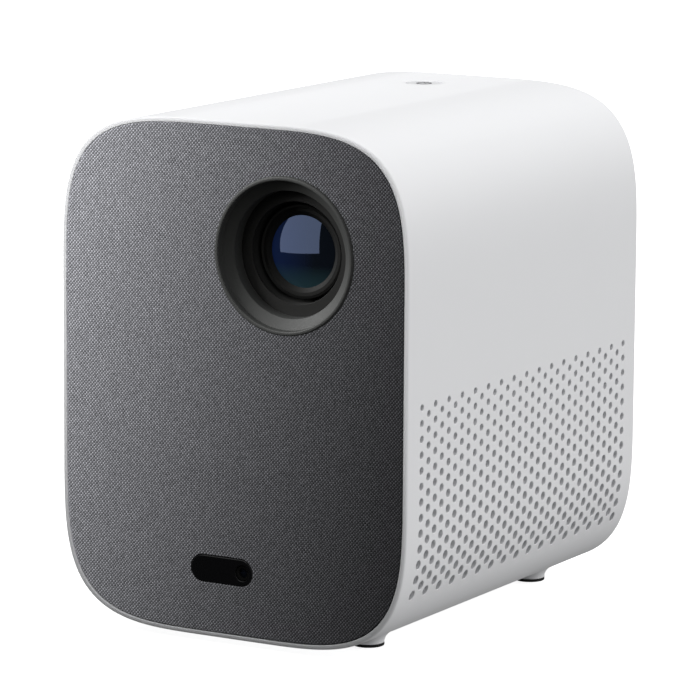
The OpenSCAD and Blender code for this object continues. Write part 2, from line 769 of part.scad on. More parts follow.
module fly_eye_lens() color([0.8, 0.9, 0.95]) {
  block([-7, path_y - 6, lens_z - 9.1], [-5, path_y + 6, lens_z + 7]);
  for (i = [-2:2], j = [-3:2]) translate([-5 - eps, path_y + 2.3 * i, lens_z + 2.3 * j]) rotate([0, 90, 0])
    cylinder(r1 = 1.1, r2 = 0.5, h = 0.5, $fn = 24);
}

module relay_lens() color([0.8, 0.9, 0.95]) {
  translate([0.5, path_y, lens_z]) rotate([0, 90, 0]) convex_lens(9.1, 4.5, 16);
}

module prism() color([0.75, 0.85, 0.9]) {
  half = 9.5;
  translate([lens_x, path_y, lens_z - 10]) {
    linear_extrude(20) polygon([[-half, -half], [half - 0.15, -half], [-half, half - 0.15]]);
    linear_extrude(20) polygon([[half, half], [half, -half + 0.15], [-half + 0.15, half]]);
  }
}

module mirror_chip() color([0.5, 0.45, 0.4]) {
  block([lens_x - 10, path_y + 10, lens_z - 6.5], [lens_x + 10, engine_y1, lens_z + 6.5]);
}

module mirror_board() color("darkgreen") {
  block([lens_x - 15, engine_y1, engine_z0 + 2], [lens_x + 15, engine_y1 + 1.6, engine_top_z]);
  block([lens_x - 8, engine_y1 + 1.6 - eps, lens_z - 8], [lens_x + 8, engine_y1 + 7, lens_z + 8]);
}

// ---------------------------------------------------------------- lens and focus drive

module lens_mount() color([0.12, 0.12, 0.12]) {
  plate_t = 2.5;
  plate_y = mount_y1 - plate_t;
  difference() {
    union() {
      translate([lens_x, 0, lens_z + 0.5]) along_y(plate_y, mount_y1) rounded(32, 26, 3);
      translate([lens_x, 0, motor_z + 6]) along_y(plate_y, mount_y1) rounded(20, 24, 3);
      rod_y(lens_x, mount_y0, plate_y + eps, lens_z, mount_r);
      rod_y(lens_x, ring_y1 + 0.1, plate_y + eps, lens_z, shoulder_r);
    }
    rod_y(lens_x, mount_y0 - 1, mount_y1 - 1.5, lens_z, mount_bore_r);
    rod_y(lens_x, mount_y0 - 1, mount_y1 + 1, lens_z, 9);
    rod_y(lens_x, plate_y - 1, mount_y1 + 1, motor_z, 2.6);
    // groove for the retaining ring
    difference() {
      rod_y(lens_x, ring_y0 - 1.1, ring_y0 - 0.1, lens_z, mount_r + 1);
      rod_y(lens_x, ring_y0 - 2, ring_y0 + 1, lens_z, mount_r - 0.6);
    }
  }
}

module focus_ring() color([0.85, 0.83, 0.75]) {
  translate([lens_x, 0, lens_z]) along_y(ring_y0, ring_y1) difference() {
    gear_outline(ring_teeth, -90);
    circle(r = mount_r + fit_gap);
  }
}

module retaining_ring() color("silver") {
  translate([lens_x, 0, lens_z]) along_y(ring_y0 - 0.9, ring_y0 - 0.2) difference() {
    circle(r = mount_r + 1.2);
    circle(r = mount_r - 0.6 + fit_gap);
    translate([-3, 4]) square([6, 20]);
  }
}

module focus_motor() color([0.7, 0.7, 0.72]) {
  difference() {
    union() {
      rod_y(lens_x, mount_y1, motor_y1, motor_z, 5);
      rod_y(lens_x, mount_y1 - 2, mount_y1 + eps, motor_z, 2.5);
      block([lens_x - 4, motor_y1 - eps, motor_z - 3], [lens_x + 4, motor_y1 + 1.5, motor_z + 3]);
    }
    rod_y(lens_x, mount_y1 - 3, mount_y1 + motor_bore_depth, motor_z, motor_shaft_r + fit_gap);
  }
}

module focus_pinion() color([0.85, 0.83, 0.75]) {
  translate([lens_x, 0, motor_z]) along_y(ring_y0 - 0.5, ring_y1 + 0.5)
    gear_outline(pinion_teeth, 90 + 180 / pinion_teeth);
  rod_y(lens_x, ring_y1 + 0.5 - eps, mount_y1 + motor_bore_depth - 0.5, motor_z, motor_shaft_r);
}

module focus_barrel() color([0.1, 0.1, 0.1]) {
  turned(lens_x, lens_z, [[seat_r, barrel_y0], [barrel_r, barrel_y0], [barrel_r, barrel_y1],
    [12, barrel_y1], [12, barrel_y1 - 4], [11, barrel_y1 - 4],
    [11, retainer_y1 + lens_rim_t], [seat_r, retainer_y1 + lens_rim_t]]);
}

module lens_retainer() color([0.14, 0.14, 0.14]) {
  mouth_r = lens_d / 2 + 1.2;
  turned(lens_x, lens_z, [[mouth_r, barrel_y0 + 0.05], [seat_r - fit_gap, barrel_y0 + 0.05],
    [seat_r - fit_gap, retainer_y1], [lens_d / 2 + 0.3, retainer_y1], [lens_d / 2, retainer_y1 - 0.5],
    [lens_d / 2, retainer_y1 - 0.8]]);
}

module front_lens() color([0.2, 0.25, 0.5]) {
  crown_y = retainer_y1 - 0.9 - (lens_curve_r - sqrt(pow(lens_curve_r, 2) - pow(lens_d / 2, 2)));
  intersection() {
    rod_y(lens_x, crown_y, retainer_y1 + lens_rim_t, lens_z, seat_r - fit_gap);
    translate([lens_x, crown_y + lens_curve_r, lens_z]) sphere(r = lens_curve_r, $fn = 128);
    turned(lens_x, lens_z, [[0, crown_y - 1], [lens_d / 2 - fit_gap, crown_y - 1],
      [lens_d / 2 - fit_gap, retainer_y1 + eps], [seat_r, retainer_y1 + eps],
      [seat_r, retainer_y1 + lens_rim_t], [0, retainer_y1 + lens_rim_t]]);
  }
}

module rear_lens() color([0.6, 0.7, 0.8]) {
  translate([lens_x, barrel_y1 - 4, lens_z]) rotate([-90, 0, 0]) convex_lens(12 - fit_gap, 3.8, 30);
}

// ---------------------------------------------------------------- cooling

module heat_sink() color([0.72, 0.73, 0.75]) {
  fins = 18;
  fin_t = 1;
  step = (sink_w - fin_t) / (fins - 1);
  difference() {
    union() {
      block([-sink_w / 2, sink_y0, sink_base_z], [sink_w / 2, sink_y1, deck_z]);
      block([blue_x - 5, sink_y0, sink_base_z], [-sink_w / 2 + eps, sink_y1, deck_z]);
      for (k = [0:fins - 1]) block([-sink_w / 2 + k * step, sink_y0, 16],
        [-sink_w / 2 + k * step + fin_t, sink_y1, sink_base_z + eps]);
    }
    for (x = [green_x, blue_x]) {
      rod_y(x, sink_y0 - 1, sink_y1 - 1, pipe_z, pipe_r + fit_gap);
      block([x - pipe_r - fit_gap, sink_y0 - 1, pipe_z],
        [x + pipe_r + fit_gap, pipe_y + pipe_bend_r, deck_z + 1]);
    }
  }
}

module heat_pipes() color([0.8, 0.5, 0.3]) {
  bend_z = pipe_z + pipe_bend_r;
  for (x = [green_x, blue_x]) {
    rod_z(x, pipe_y, bend_z - eps, lens_z + 8, pipe_r);
    rod_y(x, pipe_y + pipe_bend_r - eps, sink_y1 - 1.1, pipe_z, pipe_r);
    translate([x, pipe_y + pipe_bend_r, bend_z]) rotate([0, 0, 90]) rotate([90, 0, 0]) rotate([0, 0, 180])
      rotate_extrude(angle = 90) translate([pipe_bend_r, 0]) circle(r = pipe_r);
  }
}

module heat_spreader() color([0.8, 0.5, 0.3]) {
  y0 = engine_y1 + led_board_t;
  difference() {
    block([blue_x - 8, y0, lens_z - 8], [green_x + 8, y0 + 3, lens_z + 8]);
    for (x = [green_x, blue_x]) rod_z(x, pipe_y, lens_z - 9, lens_z + 9, pipe_r + fit_gap);
  }
}

module fan_frame() color([0.09, 0.09, 0.1]) {
  difference() {
    union() {
      difference() {
        translate([0, 0, fan_z]) along_y(fan_y0, fan_y1) rounded(fan_size, fan_size, 3);
        rod_y(0, fan_y0 - 1, fan_y1 + 1, fan_z, fan_bore_r);
      }
      // hub plate and its four struts
      rod_y(0, fan_y1 - 2.5, fan_y1, fan_z, fan_hub_r);
      rod_y(0, fan_y1 - 8, fan_y1 - 2, fan_z, 3.4);
      for (a = [45, 135, 225, 315]) translate([0, 0, fan_z]) rotate([0, a, 0])
        block([fan_hub_r - 1, fan_y1 - 2.5, -1.3], [fan_bore_r + 0.5, fan_y1, 1.3]);
    }
    rod_y(0, fan_y1 - 9, fan_y1 - 1, fan_z, fan_shaft_r + 0.03);
    for (s = [-1, 1], t = [-1, 1])
      rod_y(s * fan_screw_pos, fan_y0 - 1, fan_y1 + 1, fan_z + t * fan_screw_pos, screw_r + 0.3);
  }
}

module fan_rotor() color([0.12, 0.12, 0.13]) {
  blades = 9;
  y0 = fan_y0 + 1.5;
  y1 = fan_y1 - 3.2;
  difference() {
    rod_y(0, y0, y1, fan_z, fan_hub_r);
    rod_y(0, y0 + 1.5, y1 + 1, fan_z, fan_hub_r - 1.2);
  }
  rod_y(0, y0 + 1, fan_y1 - 1.4, fan_z, fan_shaft_r);
  intersection() {
    difference() {
      rod_y(0, y0, y1, fan_z, fan_bore_r - 0.6);
      rod_y(0, y0 - 1, y1 + 1, fan_z, fan_hub_r - 0.6);
    }
    for (k = [0:blades - 1]) translate([0, (y0 + y1) / 2, fan_z]) rotate([0, k * 360 / blades, 0])
      rotate([38, 0, 0]) translate([fan_hub_r - 1, -8, -0.6]) cube([fan_bore_r, 16, 1.2]);
  }
}

module fan_screws() color("silver") {
  for (s = [-1, 1], t = [-1, 1]) translate([s * fan_screw_pos, fan_y0, fan_z + t * fan_screw_pos]) {
    rod_y(0, -1.6, 0, 0, 2.6);
    rod_y(0, -eps, fan_y1 - fan_y0 + 4, 0, screw_r);
  }
}

// ---------------------------------------------------------------- speakers

module speaker_box() color([0.1, 0.1, 0.11]) {
  box_y0 = -55;
  box_y1 = 5;
  t = 2;
  difference() {
    intersection() {
      slab(wall + 1.2, box_y0, box_y1);
      block([-speaker_face_x, -80, 0], [speaker_face_x, 80, deck_z - 4]);
    }
    difference() {
      intersection() {
        slab(wall + 1.2 + t, box_y0 + t, box_y1 - t);
        block([-speaker_face_x + t, -80, 0], [speaker_face_x - t, 80, deck_z - 4 - t]);
      }
      rod_z(0, 0, 0, nut_z1 + 4.5, 11.5);
    }
    rod_x(-60, 60, speaker_y, speaker_z, speaker_hole_r + fit_gap);
    rod_z(0, 0, 0, nut_z1 + 2.5, 9);
  }
  // feet that stand on the case floor and tabs that hang from the deck
  for (x = [-11, 11], y = [-45, -15]) rod_z(x, y, inner_floor_z + 0.1, inner_floor_z + 3, 3);
  for (x = [-20, 20], y = [-45, -2]) rod_z(x, y, deck_z - 4 - eps, deck_z, 3);
}

module speaker_frame(side) {
  mirror([side < 0 ? 1 : 0, 0, 0]) difference() {
    union() {
      rod_x(speaker_face_x, speaker_face_x + 1.5, speaker_y, speaker_z, speaker_hole_r + 2.5);
      rod_x(34, speaker_face_x + eps, speaker_y, speaker_z, speaker_hole_r);
      rod_x(25, 34 + eps, speaker_y, speaker_z, 13);
    }
    rod_x(35.5, speaker_face_x + 3, speaker_y, speaker_z, speaker_hole_r - 1.2);
    // gap for the voice coil, around a central pole
    difference() {
      rod_x(28, 36, speaker_y, speaker_z, 7.2);
      rod_x(27, 36, speaker_y, speaker_z, 5.2);
    }
  }
}
module speaker_frames() color([0.2, 0.2, 0.21]) {
  speaker_frame(-1);
  speaker_frame(1);
}

// Cone with its surround, dust cap and voice coil as one moving piece
module speaker_cone(side) color([0.13, 0.13, 0.13]) {
  r_out = speaker_hole_r - 1.2 - cone_gap;
  face_x = speaker_face_x + 0.4;
  roll = [for (i = [0:8]) let (a = 22.5 * i) [r_out - 1.9 - 1.5 * cos(a), face_x - 0.8 + 1.5 * sin(a)]];
  mirror([side < 0 ? 1 : 0, 0, 0]) translate([0, speaker_y, speaker_z]) rotate([0, 90, 0])
    rotate_extrude() polygon(concat(
      [[0, 42], [4.5, 41.2], [5.9, 40], [r_out - 4, face_x - 0.8]], roll,
      [[r_out, face_x - 0.8], [r_out, face_x - 1.6], [r_out - 4.2, face_x - 1.6], [6.6, 39.2], [6.6, 31],
       [5.8, 31], [5.8, 39], [4, 40], [0, 41]]));
}
module speaker_cone_left() speaker_cone(-1);
module speaker_cone_right() speaker_cone(1);

// ---------------------------------------------------------------- the whole projector

outer_shell();
front_panel();
front_fabric();
lens_bezel();
lens_baffle();
sensor_window();
sensor_board();
camera_module();
camera_lens();
infrared_receiver();
front_screws();
rear_cover();
rear_screws();
foot_pads();
tripod_nut();
power_button();
power_icon();
button_board();
power_switch();
button_board_screws();
dust_mesh_left();
dust_mesh_right();
chassis();
main_board();
chassis_screws();
hdmi_socket();
usb_socket();
audio_socket();
dc_socket();
engine_housing();
engine_cover();
led_red();
led_green();
led_blue();
collimator_lenses();
dichroic_mirrors();
fly_eye_lens();
relay_lens();
prism();
mirror_chip();
mirror_board();
lens_mount();
focus_ring();
retaining_ring();
focus_motor();
focus_pinion();
focus_barrel();
front_lens();
lens_retainer();
rear_lens();
heat_sink();
heat_pipes();
heat_spreader();
fan_frame();
fan_rotor();
fan_screws();
speaker_box();
speaker_frames();
speaker_cone_left();
speaker_cone_right();
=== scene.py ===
"""Looks of the home projector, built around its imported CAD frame. Metres, +Z up, front at -Y."""

import json
import math

import bmesh
import bpy
from mathutils import Matrix, Vector
from mathutils.geometry import tessellate_polygon


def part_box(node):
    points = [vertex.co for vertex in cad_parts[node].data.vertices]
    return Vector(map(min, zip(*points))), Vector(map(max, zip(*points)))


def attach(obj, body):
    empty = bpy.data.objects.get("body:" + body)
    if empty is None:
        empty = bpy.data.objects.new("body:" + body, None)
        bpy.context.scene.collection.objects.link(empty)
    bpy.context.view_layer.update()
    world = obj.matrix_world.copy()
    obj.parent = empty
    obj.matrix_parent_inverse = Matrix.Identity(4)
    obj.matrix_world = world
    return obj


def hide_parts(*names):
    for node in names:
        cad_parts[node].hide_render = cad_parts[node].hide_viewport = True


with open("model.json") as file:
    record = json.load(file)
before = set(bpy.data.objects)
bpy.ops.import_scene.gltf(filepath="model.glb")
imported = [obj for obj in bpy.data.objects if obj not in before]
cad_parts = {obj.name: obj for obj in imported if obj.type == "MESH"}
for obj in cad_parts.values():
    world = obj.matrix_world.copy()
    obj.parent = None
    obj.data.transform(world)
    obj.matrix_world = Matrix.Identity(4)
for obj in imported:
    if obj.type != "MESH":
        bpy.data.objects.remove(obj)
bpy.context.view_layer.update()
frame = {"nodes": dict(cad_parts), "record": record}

MM = 0.001

# ---- sizes taken from the frame

def middle(node):
    """X and Z of the middle of a CAD node."""
    node_low, node_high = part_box(node)
    return (node_low.x + node_high.x) / 2, (node_low.z + node_high.z) / 2


shell_low, shell_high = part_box("outer_shell")
bezel_low, bezel_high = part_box("lens_bezel")
fabric_low, fabric_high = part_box("front_fabric")
cover_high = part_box("rear_cover")[1]
baffle_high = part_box("lens_baffle")[1]
glass_low, glass_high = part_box("front_lens")
retainer_low, retainer_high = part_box("lens_retainer")
barrel_low, barrel_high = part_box("focus_barrel")
window_low, window_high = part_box("sensor_window")
button_low, button_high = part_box("power_button")
icon_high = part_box("power_icon")[1]
pads_low, pads_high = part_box("foot_pads")
nut_low, nut_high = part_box("tripod_nut")

HALF_W = shell_high.x
FRONT_Y = shell_low.y
REAR_Y = shell_high.y
TOP_Z = shell_high.z
GROUND_GAP = 1.8 * MM       # from the table to the lowest line of the case
MID_Z = (TOP_Z + GROUND_GAP) / 2
HALF_H = (TOP_Z - GROUND_GAP) / 2

CORNER_R = 50 * MM
CORNER_POWER = 3.7
WALL = 2.2 * MM
RIM = 1.3 * MM
PANEL_GAP = 0.1 * MM
FIT_GAP = 0.05 * MM         # gap of round parts that sit in one another
FABRIC_Y = fabric_low.y
FABRIC_BACK_Y = fabric_high.y
PANEL_T = 2.5 * MM          # thickness of the front panel and of the rear cover
REBATE_Y = FABRIC_BACK_Y + PANEL_T
COVER_OUT_Y = cover_high.y
COVER_IN_Y = COVER_OUT_Y - PANEL_T

HOLE_COLUMNS = 33
HOLE_ROWS = 25
HOLE_PITCH = 4.5 * MM
COLUMN_STEP = HOLE_PITCH * math.sqrt(3) / 2
ROW_STEP = HOLE_PITCH / 2
HOLE_R_TOP = 1.95 * MM / 2
HOLE_R_LOW = 2.8 * MM / 2
HOLE_TOP_Z = MID_Z - 2.7 * MM
HOLE_FRONT_Y = (FRONT_Y + REAR_Y - COLUMN_STEP * (HOLE_COLUMNS - 1)) / 2

LENS_X, LENS_Z = middle("lens_bezel")
BEZEL_R = (bezel_high.x - bezel_low.x) / 2
STEP_Y = bezel_high.y
LIP_R = BEZEL_R - 1.3 * MM
LIP_Y = FRONT_Y + 1.33 * MM
CONE_R = 18.15 * MM
CONE_Y = FRONT_Y + 3.34 * MM
SPIGOT_R = LIP_R + 0.75 * MM
WELL_R = 14.65 * MM
GLASS_R = 10.35 * MM
GLASS_CURVE_R = 38 * MM

BUTTON_R = 5.3 * MM
BUTTON_GAP = 0.3 * MM
BUTTON_X = (button_low.x + button_high.x) / 2
BUTTON_Y = (button_low.y + button_high.y) / 2

NUT_R = 5 * MM

FOOT_R = 4.7 * MM
FOOT_X = pads_high.x - FOOT_R
FOOT_Y = (pads_low.y + FOOT_R, pads_high.y - FOOT_R)
FOOT_FILLET = 3.0 * MM
FOOT_BASE_Z = shell_low.z
FOOT_RECESS_Z = 1.3 * MM    # ceiling of the recess that a rubber pad sits in
FOOT_RECESS_R = FOOT_R - 0.6 * MM
FOOT_PLACES = [(side * FOOT_X, y) for side in (-1, 1) for y in FOOT_Y]


# ---- the case section

def bulge(u, r):
    """Height of a squircle corner of radius r at u from its centre."""
    return r * max(0.0, 1 - (max(u, 0.0) / r) ** CORNER_POWER) ** (1 / CORNER_POWER)


def side_x(z, inset=0.0):
    """Half-width of the case at height z."""
    return HALF_W - CORNER_R + bulge(abs(z - MID_Z) - (HALF_H - CORNER_R), CORNER_R - inset)


def half_height(x, inset=0.0):
    """Half-height of the case at sideways position x."""
    return HALF_H - CORNER_R + bulge(abs(x) - (HALF_W - CORNER_R), CORNER_R - inset)


DIAGONAL_U = CORNER_R * 2 ** (-1 / CORNER_POWER)
DIAGONAL_H = HALF_H - CORNER_R + DIAGONAL_U


def spread(a, b, step):
    """Evenly spaced values from a to b, both included, at most step apart."""
    count = max(1, math.ceil(abs(b - a) / step))
    return [a + (b - a) * i / count for i in range(count + 1)]


# The holes lie on a fine lattice, numbered m along Y and n along Z from the first hole of the top row.
# One column of holes to the next is 9 steps of m and one row to the next is 3 steps of n.
UNIT_Y = COLUMN_STEP / 9
UNIT_Z = ROW_STEP / 3
LATTICE_LOW_N = -3 * (HOLE_ROWS - 1) - 3
MARGIN = 0.9 * MM           # from the lattice to the plain grid of the case around it

M_LEVELS = [9 * c + d for c in range(HOLE_COLUMNS) for d in (-3, 3)]
N_LEVELS = list(range(LATTICE_LOW_N, 4, 3))


def lattice_y(m):
    """Y of lattice position m."""
    return HOLE_FRONT_Y + m * UNIT_Y


def lattice_z(n):
    """Z of lattice position n."""
    return HOLE_TOP_Z + n * UNIT_Z


HOLES_Z0 = lattice_z(N_LEVELS[0]) - MARGIN
HOLES_Z1 = lattice_z(N_LEVELS[-1]) + MARGIN
HOLES_Y0 = lattice_y(M_LEVELS[0] - 3) - MARGIN
HOLES_Y1 = lattice_y(M_LEVELS[-1] + 3) + MARGIN

# Grid of the case section: heights up each side, and shares of the half-width over the top
LOW_STEP = 1.3 * MM
SIDE_STEP = 2.6 * MM
TOP_STEP = 1.45 * MM
LOW_Z = spread(MID_Z - DIAGONAL_H, HOLES_Z0, LOW_STEP)
SIDE_Z = LOW_Z + [lattice_z(n) for n in N_LEVELS] + spread(HOLES_Z1, MID_Z + DIAGONAL_H, SIDE_STEP)
Z_FIRST = len(LOW_Z) - 1                # level at HOLES_Z0
Z_LAST = Z_FIRST + len(N_LEVELS) + 1    # level at HOLES_Z1
TOP_T = spread(1, -1, 2 * TOP_STEP / (2 * (HALF_W - CORNER_R + DIAGONAL_U)))
SIDE_COUNT = len(SIDE_Z)
TOP_COUNT = len(TOP_T) - 2
LOOP_COUNT = 2 * (SIDE_COUNT + TOP_COUNT)


def case_loop(inset, y):
    """Points round the case section, from low on the +X side up, over the top and back."""
    reach = HALF_W - CORNER_R + bulge(DIAGONAL_U, CORNER_R - inset)
    right = [(side_x(z, inset), y, z) for z in SIDE_Z]
    top = [(t * reach, y, MID_Z + half_height(t * reach, inset)) for t in TOP_T[1:-1]]
    left = [(-x, y, z) for x, y, z in reversed(right)]
    bottom = [(-x, y, 2 * MID_Z - z) for x, y, z in top]
    return right + top + left + bottom


# ---- mesh helpers

def make_mesh(name, points, faces, flat=(), body=None, replaces=(), slot=None, material=None,
              sharp_deg=32.0):
    """A closed, outward-facing piece, smooth but for the faces numbered in flat and its sharp edges.

    It has the finish of its slot unless it is given a material of its own.
    """
    mesh = bpy.data.meshes.new(name)
    mesh.from_pydata([tuple(p) for p in points], [], faces)
    mesh.update()
    work = bmesh.new()
    work.from_mesh(mesh)
    loose = [v for v in work.verts if not v.link_faces]
    bmesh.ops.delete(work, geom=loose, context="VERTS")
    bmesh.ops.recalc_face_normals(work, faces=work.faces)
    work.to_mesh(mesh)
    work.free()
    mesh.shade_smooth()
    mesh.set_sharp_from_angle(angle=math.radians(sharp_deg))
    for number in flat:
        mesh.polygons[number].use_smooth = False
    piece = bpy.data.objects.new(name, mesh)
    bpy.context.scene.collection.objects.link(piece)
    mesh.materials.append(material or FINISH[slot])
    if replaces:
        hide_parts(*replaces)
    if body:
        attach(piece, body)
    return piece


class Builder:
    """Collects points and faces of one piece."""

    def __init__(self):
        self.points = []
        self.faces = []
        self.flat = []

    def ring(self, points):
        """Adds points and returns their numbers."""
        first = len(self.points)
        self.points.extend(points)
        return list(range(first, len(self.points)))

    def bridge(self, a, b):
        """Quads between two closed rings of the same count."""
        n = len(a)
        self.faces.extend((a[i], a[(i + 1) % n], b[(i + 1) % n], b[i]) for i in range(n))

    def loft(self, rings):
        """A skin through closed rings of points, each joined to the next."""
        made = [self.ring(r) for r in rings]
        for a, b in zip(made, made[1:]):
            self.bridge(a, b)
        return made

    def cap(self, outer, holes=()):
        """Fills a flat outline that may have holes. The rings are lists of point numbers."""
        loops = [outer, *holes]
        flat = [i for loop in loops for i in loop]
        polygons = [[Vector(self.points[i]) for i in loop] for loop in loops]
        first = len(self.faces)
        self.faces.extend(tuple(flat[i] for i in tri) for tri in tessellate_polygon(polygons))
        self.flat.extend(range(first, len(self.faces)))

    def finish(self, name, **facts):
        return make_mesh(name, self.points, self.faces, self.flat, **facts)


def arc(cx, cy, r, start, end, count=6):
    """Points on an arc, in degrees, as (x, y) pairs."""
    angles = [math.radians(start + (end - start) * i / count) for i in range(count + 1)]
    return [(cx + r * math.cos(a), cy + r * math.sin(a)) for a in angles]


def rolled(r, count=6):
    """An edge rounded to radius r: (inset, depth) from where it leaves the face round to the side."""
    return [(r - r * s, r - r * c) for c, s in arc(0, 0, 1, 0, 90, count)]


def lathe(builder, profile, x, z, segments):
    """Revolves a closed (radius, y) outline round an axis along Y. A radius of 0 closes on the axis."""
    rings = []
    for r, y in profile:
        if r <= 1e-9:
            rings.append(builder.ring([(x, y, z)]))
        else:
            rings.append(builder.ring(circle(x, z, r, y, segments)))
    count = len(rings)
    for i in range(count):
        a, b = rings[i], rings[(i + 1) % count]
        if len(a) == 1 and len(b) == 1:
            continue
        if len(a) == 1 or len(b) == 1:
            tip, ring = (a[0], b) if len(a) == 1 else (b[0], a)
            builder.faces.extend((tip, ring[k], ring[(k + 1) % segments]) for k in range(segments))
        else:
            builder.bridge(a, b)


def upright(builder, profile, x, y, segments):
    """Revolves a closed (radius, z) outline round a vertical axis."""
    first = len(builder.points)
    lathe(builder, profile, 0, 0, segments)
    for i in range(first, len(builder.points)):
        px, py, pz = builder.points[i]
        builder.points[i] = (x + px, y + pz, py)


def circle(x, z, r, y, count=64):
    """Points round an axis along Y."""
    return [(x + r * math.cos(2 * math.pi * i / count), y, z + r * math.sin(2 * math.pi * i / count))
            for i in range(count)]


def rounded_slot(x, z, w, h, r, y, per_corner=8):
    """Outline of a rounded rectangle or, when r is half of h, of a pill."""
    points = []
    for sx, sz, start in ((1, 1, 0), (-1, 1, 90), (-1, -1, 180), (1, -1, 270)):
        cx, cz = x + sx * (w / 2 - r), z + sz * (h / 2 - r)
        points += [(px, y, pz) for px, pz in arc(cx, cz, r, start, start + 90, per_corner)]
    return points


def plate(name, outer, holes, **facts):
    """A plate with soft edges. Its outer and each hole are lists of rings, from face to back."""
    b = Builder()
    shells = [b.loft(rings) for rings in (outer, *holes)]
    b.cap(shells[0][0], [s[0] for s in shells[1:]])
    b.cap(shells[0][-1], [s[-1] for s in shells[1:]])
    return b.finish(name, **facts)


# ---- material helpers

class Nodes:
    """Adds linked nodes to the node tree of a material or world."""

    def __init__(self, owner):
        owner.use_nodes = True
        self.tree = owner.node_tree

    def node(self, kind, inputs=None, **props):
        made = self.tree.nodes.new(kind)
        for key, value in props.items():
            setattr(made, key, value)
        for key, value in (inputs or {}).items():
            if isinstance(value, bpy.types.NodeSocket):
                self.tree.links.new(value, made.inputs[key])
            else:
                made.inputs[key].default_value = value
        return made

    def math(self, operation, *values):
        return self.node("ShaderNodeMath", dict(enumerate(values)), operation=operation).outputs[0]


class Finish(Nodes):
    """One procedural material and the nodes that drive it."""

    def __init__(self, name, color, roughness, **sockets):
        self.material = bpy.data.materials.new(name)
        super().__init__(self.material)
        self.shader = self.tree.nodes["Principled BSDF"]
        self.shader.inputs["Base Color"].default_value = (*color, 1)
        self.shader.inputs["Roughness"].default_value = roughness
        for key, value in sockets.items():
            self.shader.inputs[key.replace("_", " ")].default_value = value
        self.coords = self.node("ShaderNodeTexCoord").outputs["Object"]

    def noise(self, scale, detail=3.0, coords=None):
        return self.node("ShaderNodeTexNoise", {"Vector": coords or self.coords, "Scale": scale,
                                                "Detail": detail, "Roughness": 0.55}).outputs["Fac"]

    def scaled(self, x, y, z):
        """Object coordinates stretched for a texture that is finer along some axes."""
        return self.node("ShaderNodeMapping", {"Vector": self.coords, "Scale": (x, y, z)}).outputs["Vector"]

    def place(self):
        """Outputs X, Y and Z of the place that is shaded."""
        return self.node("ShaderNodeSeparateXYZ", {"Vector": self.coords}).outputs

    def span(self, value, low, high, to_low, to_high):
        """Maps low to high onto to_low to to_high, and holds the ends."""
        return self.node("ShaderNodeMapRange", {"Value": value, "From Min": low, "From Max": high,
                                                "To Min": to_low, "To Max": to_high}).outputs["Result"]

    def mix(self, factor, a, b):
        """From colour a to colour b, each a tuple or a socket."""
        a, b = ((*c, 1) if isinstance(c, tuple) else c for c in (a, b))
        return self.node("ShaderNodeMix", {0: factor, 6: a, 7: b}, data_type="RGBA").outputs[2]

    def base(self, socket):
        self.tree.links.new(socket, self.shader.inputs["Base Color"])

    def rough(self, socket):
        self.tree.links.new(socket, self.shader.inputs["Roughness"])

    def gloss(self, noise, smooth, rough):
        """Roughness that follows the middle of a noise, from smooth to rough."""
        self.rough(self.span(noise, 0.3, 0.7, smooth, rough))

    def bump(self, height, distance):
        made = self.node("ShaderNodeBump", {"Height": height, "Distance": distance, "Strength": 1.0})
        self.tree.links.new(made.outputs["Normal"], self.shader.inputs["Normal"])


def shade(color, factor):
    """A colour made lighter or darker."""
    return tuple(min(1.0, c * factor) for c in color)


def moulded(name, color, roughness, grain, depth, variation, specular=0.5):
    """Moulded plastic or rubber: fine grain of a depth in mm, faint flow marks and uneven gloss."""
    f = Finish(name, color, roughness, Specular_IOR_Level=specular)
    fine = f.noise(grain, 4.0)
    flow = f.noise(38, 2.0)
    f.base(f.mix(flow, shade(color, 1 - variation), shade(color, 1 + variation)))
    f.gloss(fine, roughness * 0.88, min(1.0, roughness * 1.1))
    f.bump(fine, depth * MM)
    return f.material


def machined(name, color, roughness, stretch):
    """Drawn or milled metal: fine lines along one axis with cloudy gloss."""
    f = Finish(name, color, roughness, Metallic=1.0)
    lines = f.noise(1.0, 5.0, f.scaled(*stretch))
    cloud = f.noise(160, 3.0)
    f.base(f.mix(f.span(lines, 0.3, 0.7, 0, 1), shade(color, 0.82), shade(color, 1.06)))
    f.rough(f.math("ADD", f.span(lines, 0.3, 0.7, roughness * 0.8, roughness * 1.15),
                   f.span(cloud, 0.3, 0.7, -0.04, 0.04)))
    f.bump(lines, 0.01 * MM)
    return f.material


def cast_metal(name, color, roughness):
    """Die-cast and painted metal: orange-peel skin with speckles of bare metal."""
    f = Finish(name, color, roughness, Metallic=0.35)
    peel = f.noise(900, 3.0)
    speck = f.node("ShaderNodeTexVoronoi", {"Vector": f.coords, "Scale": 700.0}).outputs["Distance"]
    f.base(f.mix(f.span(speck, 0.02, 0.12, 1, 0), shade(color, 0.95), shade(color, 1.6)))
    f.gloss(peel, roughness * 0.85, roughness * 1.15)
    f.bump(peel, 0.03 * MM)
    return f.material


